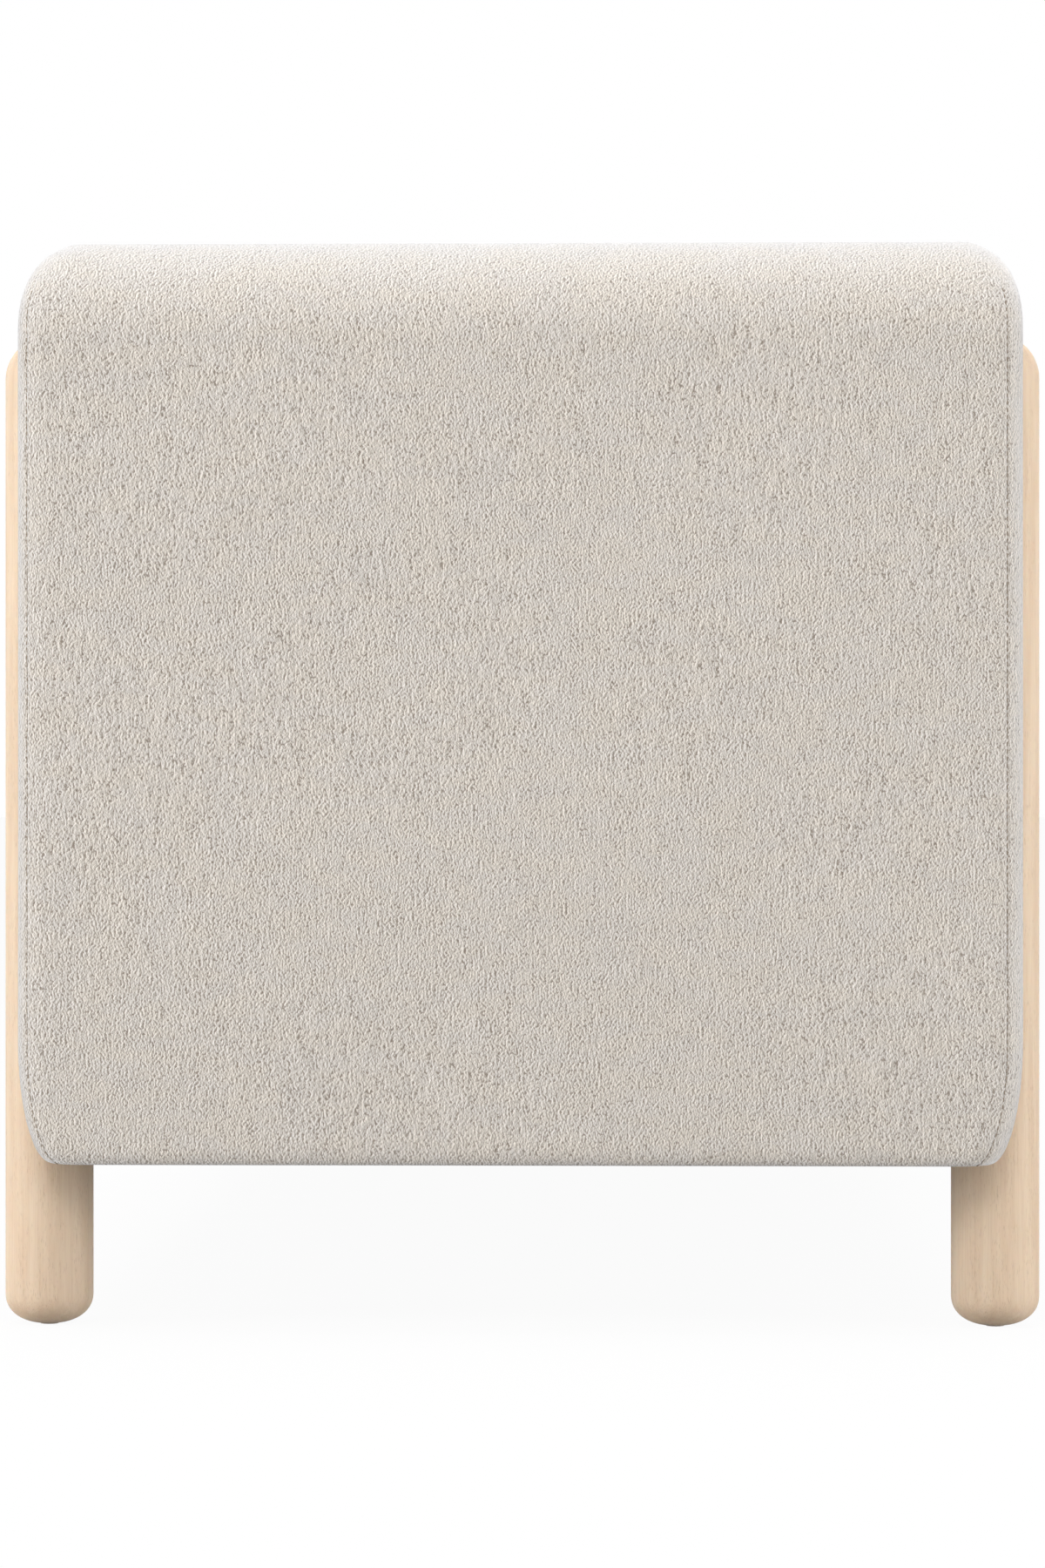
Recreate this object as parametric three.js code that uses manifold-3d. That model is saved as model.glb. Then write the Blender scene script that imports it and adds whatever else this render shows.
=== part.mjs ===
// A sofa with thick padded arms that are held up by round wooden corner posts.
// Each arm is a slab with a rolled top. A post stands in a groove at each end of it and is its leg.
// A seat box with webbing hangs between the arms, with an upholstered back behind it, and two seat
// cushions and two back cushions lie loose.
//
// Lengths are in millimetres. X runs along the sofa, the front faces -Y and Z is up. The origin is on
// the floor under the middle. Left and right are as seen from the front: the left arm is at -X.

import * as THREE from "three";
import { mergeVertices } from "three/addons/utils/BufferGeometryUtils.js";
import Module from "manifold-3d";

const wasm = await Module();
wasm.setup();

// ---- Driving dimensions ----

const clearance = 0.3; // between pieces that touch
const sofaWidth = 1900;

// Posts and glides
const postRadius = 34;
const postProud = 17; // how far a post stands out of the arm's end
const postTopDrop = 71; // from an arm's crest to the tops of its posts
const footDomeHeight = 24;
const glideRadius = 7;
const glideHeight = 3;
const glideProud = 0.3;
const glideNailRadius = 1.5;
const glideNailLength = 14;

// Arms
const armThickness = 160;
const armDepth = 766;
const armTop = 836;
const armBottom = 128;
const armCornerRadius = 26;
const armTopCorner = { run: 43, rise: 68, power: 2.1 };
const armBottomCorner = { run: 24, rise: 94, power: 1.7 };
const armHemRound = { run: 14, rise: 26, power: 2 };
const coverThickness = 3;
const hemWidth = 28; // how far a cover turns in under the padding

// Arm frames
const armFrameThickness = 90;
const armTopPadding = 101; // from the frame's top to the crest
const armStileDepth = 40;
const armBottomRailHeight = 64;
const armTopRailHeight = 44;

// Back
const backThickness = 100;
const backDrop = 6; // from the arms' crest to the back's
const backCornerRadius = 12;
const backTopCorner = { run: 10, rise: 14, power: 2 };
const backBottomCorner = { run: 2, rise: 10, power: 2 };
const backHemRound = { run: 8, rise: 16, power: 2 };
const backHemWidth = 20;
const backFrameThickness = 50;
const backTopPadding = 58; // from the frame's top to the crest
const backStileWidth = 60;
const backEndPadding = 8; // between the end stiles and the cover
const backBottomRailHeight = 90;
const backTopRailHeight = 50;

// Seat box
const seatRaise = 12; // from the arms' underside to the seat box's and the back's
const seatSetback = 14; // from the arms' ends to the seat's front and to the back's rear
const railThickness = 28;
const railHeight = 118;
const dustCoverThickness = 1;
const dustCoverRaise = 0.7;
const strapWidth = 70;
const strapThickness = 2;
const strapInset = 4; // from the rails' outer faces to the straps' ends
const strapsAcross = 3; // in each half of the seat, from its side rail to the centre rail
const strapsAlong = 4; // in each half of the seat, from front to rear
const deckPadThickness = 20;
const frontPadThickness = 12;
const deckEdgeRadius = 22;

// Bolts
const boltRadius = 4;
const boltHeadRadius = 7;
const boltHeadHeight = 5;
const postBoltGrip = 40; // how far a bolt reaches into a post
const postBoltLow = 40; // above an arm's bottom rail
const postBoltHigh = 40; // below an arm's top rail
const armBoltGrip = 45; // how far a bolt reaches into an arm's bottom rail
const armBoltInset = 98; // from an arm's stiles
const backBoltGrip = 30;
const backBoltInset = 290; // from the back's ends

// Cushions
const cushionGap = 1; // between two cushions side by side
const cushionCoverThickness = 2;
const seatCushionEdge = 142; // thickness at the border
const seatCushionCrown = 18;
const seatCushionOverhang = 4;
const seatCushionCornerRadius = 40;
const seatCushionEdgeRound = 30;
const backCushionEdge = 96;
const backCushionCrown = 34;
const backCushionHeight = 360;
const backCushionCornerRadius = 52;
const backCushionEdgeRound = 40;
const zipLength = 560;
const zipHeight = 5;
const zipRoom = 5; // from a seat cushion's rear border, where its zip is, to the back
const zipEndStop = 5; // from the slider's neck to the zip's end
const sliderLength = 10;
const sliderHeight = 9;
const sliderThickness = 2;
const sliderNeckLength = 6;
const sliderNeckHeight = 3.4;
const pullLength = 20;
const pullWidth = 7;
const pullThickness = 1.2;

// Facets
const postSides = 24;
const domeSteps = 4;
const cornerSteps = 4;
const rollSteps = 8;
const edgeSteps = 2;
const foldSteps = 8;
const boltSides = 8;
const glideSides = 12;
const hemShares = [0, 0.25, 1]; // of the rise of a slab's hem
const taperShares = [0.6, 1]; // of the rise of a slab's bottom corners
const crownShares = [0, 0.35, 0.7, 1]; // from a cushion's shoulder, 0, to the middle of its crown, 1
const ridge = 3; // half the width of the narrow flat that stands for a slab's crest
const tip = 2; // half the size of the small flat in the middle of a cushion's crown
const leastStep = 1; // between two levels of a slab
const leastRound = 1; // radius of a corner whose curve an inset uses up
const overshoot = 1; // of a cutter past the face that it opens
const weld = 1e-3; // between points that count as one

// ---- Places worked out from the driving dimensions ----

const sides = [["left", -1], ["right", 1]];
const ends = [["front", -1], ["rear", 1]];
const armInner = sofaWidth / 2 - armThickness;
const armCentre = sofaWidth / 2 - armThickness / 2;
const armUnder = armBottom + coverThickness + clearance;
const armFrameTop = armTop - armTopPadding;
const postCentre = armDepth / 2 + postProud - postRadius;
const postTop = armTop - postTopDrop;
const stileOuter = postCentre - postRadius - 2 * clearance - coverThickness;
const stileInner = stileOuter - armStileDepth;
const bodyHalf = armInner - clearance; // half the width of what hangs between the arms
const bodyEnd = armDepth / 2 - seatSetback;
const backFront = bodyEnd - backThickness;
const backCentre = bodyEnd - backThickness / 2;
const backTop = armTop - backDrop;
const backFrameTop = backTop - backTopPadding;
const seatBottom = armBottom + seatRaise;
const backUnder = seatBottom + coverThickness + clearance;
const backFrameHalf = bodyHalf - coverThickness - 2 * clearance - backEndPadding;
const railBottom = seatBottom + dustCoverRaise + dustCoverThickness + clearance;
const railTop = railBottom + railHeight;
const padBottom = railTop + strapThickness + 2 * clearance;
const padTop = padBottom + deckPadThickness;
const deckTop = padTop + clearance + coverThickness;
const padFront = -bodyEnd + coverThickness + clearance;
const frontRailFront = padFront + frontPadThickness + clearance;
const rearRailBack = backFront - clearance;
const cushionBottom = deckTop + clearance;

// ---- Materials ----

const boucle = new THREE.MeshStandardMaterial({ color: "#cdc6be", roughness: 0.95, metalness: 0 });
const beech = new THREE.MeshStandardMaterial({ color: "#dcc0a0", roughness: 0.6, metalness: 0 });
const pine = new THREE.MeshStandardMaterial({ color: "#d9b98a", roughness: 0.75, metalness: 0 });
const foam = new THREE.MeshStandardMaterial({ color: "#ece5cf", roughness: 0.95, metalness: 0 });
const webbing = new THREE.MeshStandardMaterial({ color: "#8a7f72", roughness: 0.9, metalness: 0 });
const cambric = new THREE.MeshStandardMaterial({ color: "#2a2a2b", roughness: 0.95, metalness: 0 });
const steel = new THREE.MeshStandardMaterial({ color: "#b9bcc0", roughness: 0.35, metalness: 1 });
const nylon = new THREE.MeshStandardMaterial({ color: "#d8ccbb", roughness: 0.6, metalness: 0 });

// ---- Solids: three.js geometry to manifold-3d and back ----

function solid(geometry) {
  const bare = new THREE.BufferGeometry();
  bare.setAttribute("position", geometry.getAttribute("position"));
  bare.setIndex(geometry.getIndex());
  const merged = mergeVertices(bare, weld);
  const corners = merged.getIndex().array;
  const kept = [];
  for (let i = 0; i < corners.length; i += 3) {
    const [a, b, c] = [corners[i], corners[i + 1], corners[i + 2]];
    if (a !== b && b !== c && c !== a) kept.push(a, b, c);
  }
  return new wasm.Manifold(new wasm.Mesh({
    numProp: 3,
    vertProperties: new Float32Array(merged.getAttribute("position").array),
    triVerts: new Uint32Array(kept),
  }));
}

function geometryOf(shape) {
  const made = shape.getMesh();
  const geometry = new THREE.BufferGeometry();
  geometry.setAttribute("position", new THREE.BufferAttribute(made.vertProperties, 3));
  geometry.setIndex(new THREE.BufferAttribute(made.triVerts, 1));
  return geometry;
}

function box([x0, x1], [y0, y1], [z0, z1]) {
  const geometry = new THREE.BoxGeometry(x1 - x0, y1 - y0, z1 - z0);
  return geometry.translate((x0 + x1) / 2, (y0 + y1) / 2, (z0 + z1) / 2);
}

// A span on the positive side of an axis for side 1, and its mirror image for side -1.
const onSide = (side, near, far) => (side > 0 ? [near, far] : [-far, -near]);

const grown = ([low, high], by) => [low - by, high + by];

// A closed body through rings of equally many points, each ring counter-clockwise from above.
function loft(rings) {
  const count = rings[0].length;
  const points = rings.flat();
  const faces = [];
  for (let level = 0; level + 1 < rings.length; level++) {
    for (let i = 0; i < count; i++) {
      const a = level * count + i;
      const b = level * count + ((i + 1) % count);
      faces.push(a, b, b + count, a, b + count, a + count);
    }
  }
  const middle = (ring) => ring.reduce((sum, p) => sum.add(p), new THREE.Vector3()).divideScalar(count);
  const last = (rings.length - 1) * count;
  points.push(middle(rings[0]), middle(rings.at(-1)));
  for (let i = 0; i < count; i++) {
    const next = (i + 1) % count;
    faces.push(points.length - 2, next, i, points.length - 1, last + i, last + next);
  }
  const geometry = new THREE.BufferGeometry().setFromPoints(points);
  geometry.setIndex(faces);
  return geometry;
}

// A rectangle with round corners in the plane at height z.
function roundedRing(halfX, halfY, radius, z) {
  const round = Math.min(radius, 0.9 * halfX, 0.9 * halfY);
  const ring = [];
  for (const [sx, sy, start] of [[1, -1, -90], [1, 1, 0], [-1, 1, 90], [-1, -1, 180]]) {
    for (let step = 0; step <= cornerSteps; step++) {
      const angle = THREE.MathUtils.degToRad(start + (90 * step) / cornerSteps);
      const x = sx * (halfX - round) + round * Math.cos(angle);
      const y = sy * (halfY - round) + round * Math.sin(angle);
      ring.push(new THREE.Vector3(x, y, z));
    }
  }
  return ring;
}

// How far a rounded corner draws in at a height above where its curve begins.
function drawnIn({ run, rise, power }, height) {
  const share = Math.min(Math.max(height / rise, 0), 1);
  return run * (1 - (1 - share ** power) ** (1 / power));
}

// ---- Upholstered slabs: an arm, or the back ----

// The slab lies along X with its middle over the origin. Its top is a full roll, its ends are rounded
// at the top and drawn in at the bottom. An inset gives the surface that lies that far inside.
function slab(form, inset) {
  const halfLength = form.length / 2 - inset;
  const roll = form.thickness / 2 - inset;
  const top = form.top - inset;
  const bottom = form.bottom + inset;
  const rollStart = top - roll;
  const heights = [];
  for (const share of hemShares) heights.push(bottom + share * form.hemRound.rise);
  for (const share of taperShares) {
    const height = bottom + share * form.bottomCorner.rise;
    if (height > heights.at(-1) + leastStep) heights.push(height);
  }
  heights.push(rollStart);
  for (let step = 1; step <= rollSteps; step++) {
    heights.push(rollStart + roll * Math.sin((step * Math.PI) / 2 / rollSteps));
  }
  const rings = heights.map((z) => {
    const overRoll = Math.max(z - rollStart, 0);
    const halfThickness = Math.max(Math.sqrt(Math.max(roll ** 2 - overRoll ** 2, 0)), ridge)
      - drawnIn(form.hemRound, bottom + form.hemRound.rise - z);
    const end = halfLength
      - drawnIn(form.topCorner, z - (top - form.topCorner.rise))
      - drawnIn(form.bottomCorner, bottom + form.bottomCorner.rise - z);
    return roundedRing(end, halfThickness, Math.max(form.cornerRadius - inset, leastRound), z);
  });
  return solid(loft(rings));
}

const armForm = {
  length: armDepth,
  thickness: armThickness,
  top: armTop,
  bottom: armBottom,
  cornerRadius: armCornerRadius,
  topCorner: armTopCorner,
  bottomCorner: armBottomCorner,
  hemRound: armHemRound,
};

const backForm = {
  length: 2 * bodyHalf,
  thickness: backThickness,
  top: backTop,
  bottom: seatBottom,
  cornerRadius: backCornerRadius,
  topCorner: backTopCorner,
  bottomCorner: backBottomCorner,
  hemRound: backHemRound,
};

// ---- Round pieces ----

// A post's profile, grown by an offset on all sides. With an offset it is the groove that takes the post.
function postSolid(offset) {
  const radius = postRadius + offset;
  const top = postTop + offset;
  const profile = [new THREE.Vector2(0, glideProud - offset)];
  for (let step = 1; step <= domeSteps; step++) {
    const angle = (step * Math.PI) / 2 / domeSteps;
    const height = glideProud - offset + footDomeHeight * (1 - Math.cos(angle));
    profile.push(new THREE.Vector2(radius * Math.sin(angle), height));
  }
  for (let step = 0; step < domeSteps; step++) {
    const angle = (step * Math.PI) / 2 / domeSteps;
    profile.push(new THREE.Vector2(radius * Math.cos(angle), top - radius * (1 - Math.sin(angle))));
  }
  profile.push(new THREE.Vector2(0, top));
  return solid(new THREE.LatheGeometry(profile, postSides).rotateX(Math.PI / 2));
}

// A round bar along +Z from the origin, of one or more steps: [radius, length] each.
function steppedBar(steps, sideCount) {
  const profile = [new THREE.Vector2(0, 0)];
  let height = 0;
  for (const [radius, length] of steps) {
    profile.push(new THREE.Vector2(radius, height), new THREE.Vector2(radius, height + length));
    height += length;
  }
  profile.push(new THREE.Vector2(0, height));
  return new THREE.LatheGeometry(profile, sideCount).rotateX(Math.PI / 2);
}

// ---- Bolts ----

// A bolt's head bears on a face at a place, and its shank runs from there along the direction.
const along = (direction) => new THREE.Quaternion().setFromUnitVectors(new THREE.Vector3(0, 0, 1), direction);

function addBolt(parent, name, { place, direction, length }) {
  const bar = steppedBar([[boltHeadRadius, boltHeadHeight], [boltRadius, length + clearance]], boltSides);
  const mesh = addMesh(parent, name, bar, steel);
  mesh.quaternion.copy(along(direction));
  mesh.position.copy(place).addScaledVector(direction, -boltHeadHeight - clearance);
}

// Cuts each bolt's hole, from just before the face that its head bears on to just past its tip.
function drill(shape, bolts) {
  let drilled = shape;
  for (const { place, direction, length } of bolts) {
    const bar = steppedBar([[boltRadius + clearance, length + 2 * clearance]], boltSides);
    const start = place.clone().addScaledVector(direction, -clearance);
    const hole = bar.applyQuaternion(along(direction)).translate(start.x, start.y, start.z);
    drilled = drilled.subtract(solid(hole));
  }
  return drilled;
}

// Bolts from an arm's stiles into its post at one end, in the arm's own group.
const postBoltHeights = {
  lower: armUnder + armBottomRailHeight + postBoltLow,
  upper: armFrameTop - armTopRailHeight - postBoltHigh,
};

function postBolts(end) {
  return Object.entries(postBoltHeights).map(([name, height]) => ({
    name,
    place: new THREE.Vector3(0, end * stileInner, height),
    direction: new THREE.Vector3(0, end, 0),
    length: postCentre - postRadius - stileInner + postBoltGrip,
  }));
}

// Bolts from a side rail of the seat box into the bottom rail of the arm beside it, as seen from a group
// whose origin is this far along X.
function armBolts(side, originX) {
  const railInner = bodyHalf - railThickness;
  const height = armUnder + armBottomRailHeight / 2;
  return ends.map(([name, end]) => ({
    name,
    place: new THREE.Vector3(side * railInner - originX, end * (stileInner - armBoltInset), height),
    direction: new THREE.Vector3(side, 0, 0),
    length: armCentre - armFrameThickness / 2 - railInner + armBoltGrip,
  }));
}

// Bolts from the seat box's rear rail into the back's bottom rail, as seen from a group whose origin is
// this far along Y.
function backBolts(originY) {
  const railFront = rearRailBack - railThickness;
  const height = backUnder + backBottomRailHeight / 2;
  return sides.map(([name, side]) => ({
    name,
    place: new THREE.Vector3(side * (bodyHalf - backBoltInset), railFront - originY, height),
    direction: new THREE.Vector3(0, 1, 0),
    length: backCentre - backFrameThickness / 2 - railFront + backBoltGrip,
  }));
}

// ---- The scene graph ----

function addMesh(parent, name, geometry, material) {
  const mesh = new THREE.Mesh(geometry, material);
  mesh.name = name;
  parent.add(mesh);
  return mesh;
}

function addGroup(parent, x, y, z) {
  const group = new THREE.Group();
  group.position.set(x, y, z);
  parent.add(group);
  return group;
}

function addBoard(parent, name, [x0, x1], [y0, y1], [z0, z1], material) {
  const board = addMesh(parent, name, new THREE.BoxGeometry(x1 - x0, y1 - y0, z1 - z0), material);
  board.position.set((x0 + x1) / 2, (y0 + y1) / 2, (z0 + z1) / 2);
}

const sofa = new THREE.Group();

// ---- Arms ----

// Posts, each with a pocket for its glide and the glide's nail.
function addPosts(arm, sideName) {
  const pocket = solid(steppedBar([
    [glideRadius + clearance, glideHeight + clearance + overshoot],
    [glideNailRadius + clearance, glideNailLength],
  ], glideSides).translate(0, 0, -overshoot));
  const glide = steppedBar([[glideRadius, glideHeight], [glideNailRadius, glideNailLength]], glideSides);
  const plainPost = postSolid(0).subtract(pocket);
  for (const [endName, end] of ends) {
    const bolts = postBolts(end);
    const shift = new THREE.Vector3(0, -end * postCentre, 0);
    const holes = bolts.map((one) => ({ ...one, place: one.place.clone().add(shift) }));
    const post = addMesh(arm, `${endName}_post_${sideName}`, geometryOf(drill(plainPost, holes)), beech);
    post.position.y = end * postCentre;
    const foot = addMesh(arm, `${endName}_glide_${sideName}`, glide, nylon);
    foot.position.y = end * postCentre;
    for (const one of bolts) addBolt(arm, `${endName}_post_${one.name}_bolt_${sideName}`, one);
  }
}

const armFrameAcross = [-armFrameThickness / 2, armFrameThickness / 2];

function addArmFrame(arm, sideName, sideBolts) {
  const between = [-stileInner + clearance, stileInner - clearance];
  const bottomRail = solid(box(armFrameAcross, between, [armUnder, armUnder + armBottomRailHeight]));
  addMesh(arm, `arm_bottom_rail_${sideName}`, geometryOf(drill(bottomRail, sideBolts)), pine);
  const topRailHeight = [armFrameTop - armTopRailHeight, armFrameTop];
  addBoard(arm, `arm_top_rail_${sideName}`, armFrameAcross, between, topRailHeight, pine);
  for (const [endName, end] of ends) {
    const stile = solid(box(armFrameAcross, onSide(end, stileInner, stileOuter), [armUnder, armFrameTop]));
    addMesh(arm, `arm_${endName}_stile_${sideName}`, geometryOf(drill(stile, postBolts(end))), pine);
  }
}

// An arm's slab at an inset, cut round both posts at an offset from them.
function armSlab(inset, offset) {
  let shape = slab(armForm, inset).rotate([0, 0, 90]);
  for (const [, end] of ends) shape = shape.subtract(postSolid(offset).translate([0, end * postCentre, 0]));
  return shape;
}

function addArmUpholstery(arm, sideName, sideBolts) {
  const bolts = [...sideBolts, ...ends.flatMap(([, end]) => postBolts(end))];
  const pocket = solid(box(
    grown(armFrameAcross, clearance),
    grown([-stileOuter, stileOuter], clearance),
    [armBottom, armFrameTop + clearance],
  ));
  const padding = armSlab(coverThickness + clearance, coverThickness + 2 * clearance).subtract(pocket);
  addMesh(arm, `arm_padding_${sideName}`, geometryOf(drill(padding, bolts)), foam);

  const mouth = solid(box(
    grown([-armThickness / 2, armThickness / 2], -hemWidth),
    [-stileInner, stileInner],
    grown([armBottom, armUnder], coverThickness),
  ));
  const inside = armSlab(coverThickness, coverThickness + clearance).add(mouth);
  const cover = armSlab(0, clearance).subtract(inside);
  addMesh(arm, `arm_cover_${sideName}`, geometryOf(drill(cover, bolts)), boucle);
}

for (const [sideName, side] of sides) {
  const arm = addGroup(sofa, side * armCentre, 0, 0);
  const sideBolts = armBolts(side, side * armCentre);
  addPosts(arm, sideName);
  addArmFrame(arm, sideName, sideBolts);
  addArmUpholstery(arm, sideName, sideBolts);
  for (const one of sideBolts) addBolt(arm, `arm_${one.name}_bolt_${sideName}`, one);
}

// ---- Seat box ----

function addSeatRails(seat) {
  const full = [-bodyHalf, bodyHalf];
  const height = [railBottom, railTop];
  const rearRail = solid(box(full, [rearRailBack - railThickness, rearRailBack], height));
  addBoard(seat, "seat_front_rail", full, [frontRailFront, frontRailFront + railThickness], height, pine);
  addMesh(seat, "seat_rear_rail", geometryOf(drill(rearRail, backBolts(0))), pine);
  const between = grown([frontRailFront + railThickness, rearRailBack - railThickness], -clearance);
  addBoard(seat, "seat_centre_rail", [-railThickness / 2, railThickness / 2], between, height, pine);
  for (const [sideName, side] of sides) {
    const rail = solid(box(onSide(side, bodyHalf - railThickness, bodyHalf), between, height));
    addMesh(seat, `seat_side_rail_${sideName}`, geometryOf(drill(rail, armBolts(side, 0))), pine);
  }
}

// Straps cross and interlace over each half of the seat box, and lie as one mat on its rails.
function addWebbing(seat) {
  const level = [railTop + clearance, railTop + clearance + strapThickness];
  const reachX = [strapInset / 2, bodyHalf - strapInset];
  const reachY = [frontRailFront + strapInset, rearRailBack - strapInset];
  const bayX = [railThickness / 2, bodyHalf - railThickness];
  const bayY = [frontRailFront + railThickness, rearRailBack - railThickness];
  const middles = ([low, high], count) => (
    Array.from({ length: count }, (_, i) => low + ((i + 0.5) * (high - low)) / count)
  );
  const band = (middle) => [middle - strapWidth / 2, middle + strapWidth / 2];
  const lengthways = middles(bayX, strapsAlong).map((x) => solid(box(band(x), reachY, level)));
  const crossways = middles(bayY, strapsAcross).map((y) => solid(box(reachX, band(y), level)));
  const mat = [...lengthways, ...crossways].reduce((joined, strap) => joined.add(strap));
  addMesh(seat, "seat_webbing_right", geometryOf(mat), webbing);
  addMesh(seat, "seat_webbing_left", geometryOf(mat.mirror([1, 0, 0])), webbing);
}

// A sheet over the deck and down the front, pulled out along the seat box. Its fold has an outer and an
// inner radius, and an inner radius of 0 fits the square edge of a rail.
function deckSheet({ front, back, top, bottom, radius, innerRadius, deckThickness, frontThickness }) {
  const inside = { y: front + frontThickness, z: top - deckThickness };
  const shape = new THREE.Shape();
  shape.moveTo(front, bottom);
  shape.lineTo(inside.y, bottom);
  shape.lineTo(inside.y, inside.z - innerRadius);
  if (innerRadius > 0) {
    shape.absarc(inside.y + innerRadius, inside.z - innerRadius, innerRadius, Math.PI, Math.PI / 2, true);
  }
  shape.lineTo(back, inside.z);
  shape.lineTo(back, top);
  shape.lineTo(front + radius, top);
  shape.absarc(front + radius, top - radius, radius, Math.PI / 2, Math.PI, false);
  shape.closePath();
  const sheet = new THREE.ExtrudeGeometry(shape, {
    depth: 2 * bodyHalf,
    bevelEnabled: false,
    curveSegments: foldSteps,
  });
  const turn = new THREE.Matrix4().makeBasis(
    new THREE.Vector3(0, 1, 0),
    new THREE.Vector3(0, 0, 1),
    new THREE.Vector3(1, 0, 0),
  );
  return sheet.applyMatrix4(turn).translate(-bodyHalf, 0, 0);
}

function addDeck(seat) {
  const back = rearRailBack;
  addMesh(seat, "deck_cover", deckSheet({
    front: -bodyEnd,
    back,
    top: deckTop,
    bottom: seatBottom,
    radius: deckEdgeRadius,
    innerRadius: deckEdgeRadius - coverThickness,
    deckThickness: coverThickness,
    frontThickness: coverThickness,
  }), boucle);
  addMesh(seat, "deck_pad", deckSheet({
    front: padFront,
    back,
    top: padTop,
    bottom: railBottom,
    radius: deckEdgeRadius - coverThickness - clearance,
    innerRadius: 0,
    deckThickness: deckPadThickness,
    frontThickness: frontPadThickness,
  }), foam);
  const underside = seatBottom + dustCoverRaise;
  const level = [underside, underside + dustCoverThickness];
  addBoard(seat, "dust_cover", [-bodyHalf, bodyHalf], [padFront, back], level, cambric);
}

const seat = addGroup(sofa, 0, 0, 0);
addSeatRails(seat);
addWebbing(seat);
addDeck(seat);

// ---- Back ----

const backFrameDepth = [-backFrameThickness / 2, backFrameThickness / 2];

function addBackFrame(back, bolts) {
  const between = grown([-backFrameHalf, backFrameHalf], -backStileWidth - clearance);
  const bottomRail = solid(box(between, backFrameDepth, [backUnder, backUnder + backBottomRailHeight]));
  addMesh(back, "back_bottom_rail", geometryOf(drill(bottomRail, bolts)), pine);
  const topRailHeight = [backFrameTop - backTopRailHeight, backFrameTop];
  addBoard(back, "back_top_rail", between, backFrameDepth, topRailHeight, pine);
  for (const [sideName, side] of sides) {
    const across = onSide(side, backFrameHalf - backStileWidth, backFrameHalf);
    addBoard(back, `back_stile_${sideName}`, across, backFrameDepth, [backUnder, backFrameTop], pine);
  }
}

function addBackUpholstery(back, bolts) {
  const pocket = solid(box(
    grown([-backFrameHalf, backFrameHalf], clearance),
    grown(backFrameDepth, clearance),
    [seatBottom, backFrameTop + clearance],
  ));
  const padding = slab(backForm, coverThickness + clearance).subtract(pocket);
  addMesh(back, "back_padding", geometryOf(drill(padding, bolts)), foam);

  const mouth = solid(box(
    grown([-backFrameHalf, backFrameHalf], -backHemWidth),
    grown([-backThickness / 2, backThickness / 2], -backHemWidth),
    grown([seatBottom, backUnder], coverThickness),
  ));
  const inside = slab(backForm, coverThickness).add(mouth);
  const cover = slab(backForm, 0).subtract(inside);
  addMesh(back, "back_cover", geometryOf(drill(cover, bolts)), boucle);
}

const back = addGroup(sofa, 0, backCentre, 0);
const boltsToBack = backBolts(backCentre);
addBackFrame(back, boltsToBack);
addBackUpholstery(back, boltsToBack);
for (const one of boltsToBack) addBolt(back, `back_bolt_${one.name}`, one);

// ---- Loose cushions ----

// A crown rises in facets, as far as the middle.
const crownRise = (crown, share) => crown * Math.sin((share * Math.PI) / 2);

// A cushion lies on the plane z = 0 with its middle over the origin and a crowned top.
function cushion({ width, depth, edge, crown, cornerRadius, edgeRound }, inset) {
  const halfX = width / 2 - inset;
  const halfY = depth / 2 - inset;
  const round = Math.max(edgeRound - inset, leastRound);
  const bottom = inset;
  const shoulder = edge - inset;
  const rings = [];
  for (let step = 0; step <= edgeSteps; step++) {
    const angle = (step * Math.PI) / 2 / edgeSteps;
    const draw = round * (1 - Math.sin(angle));
    rings.push(roundedRing(halfX - draw, halfY - draw, cornerRadius, bottom + round * (1 - Math.cos(angle))));
  }
  for (let step = 0; step <= edgeSteps; step++) {
    const angle = (step * Math.PI) / 2 / edgeSteps;
    const draw = round * (1 - Math.cos(angle));
    const height = shoulder - round * (1 - Math.sin(angle));
    rings.push(roundedRing(halfX - draw, halfY - draw, cornerRadius, height));
  }
  for (const share of crownShares.slice(1)) {
    const x = THREE.MathUtils.lerp(halfX - round, tip, share);
    const y = THREE.MathUtils.lerp(halfY - round, tip, share);
    rings.push(roundedRing(x, y, cornerRadius, shoulder + crownRise(crown, share)));
  }
  return solid(loft(rings));
}

const cushionWidth = bodyHalf - 1.5 * cushionGap;
const cushionCentre = cushionGap / 2 + cushionWidth / 2;

const seatCushionFront = -bodyEnd - seatCushionOverhang;
const seatCushionBack = backFront - zipRoom;
const seatCushionForm = {
  width: cushionWidth,
  depth: seatCushionBack - seatCushionFront,
  edge: seatCushionEdge,
  crown: seatCushionCrown,
  cornerRadius: seatCushionCornerRadius,
  edgeRound: seatCushionEdgeRound,
};

const backCushionForm = {
  width: cushionWidth,
  depth: backCushionHeight,
  edge: backCushionEdge,
  crown: backCushionCrown,
  cornerRadius: backCushionCornerRadius,
  edgeRound: backCushionEdgeRound,
};

// The seat cushion's top where the front of a back cushion's flat underside stands on it.
function seatTopUnderBackCushion() {
  const { depth, edgeRound, edge, crown } = seatCushionForm;
  const standing = backFront - clearance - (backCushionForm.edge - backCushionForm.edgeRound);
  const crownRun = depth / 2 - edgeRound;
  const share = Math.max((seatCushionBack - edgeRound - standing) / crownRun, 0);
  const next = crownShares.findIndex((one) => one > share);
  const [low, high] = [crownShares[next - 1], crownShares[next]];
  const between = (share - low) / (high - low);
  return cushionBottom + edge + THREE.MathUtils.lerp(crownRise(crown, low), crownRise(crown, high), between);
}

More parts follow.
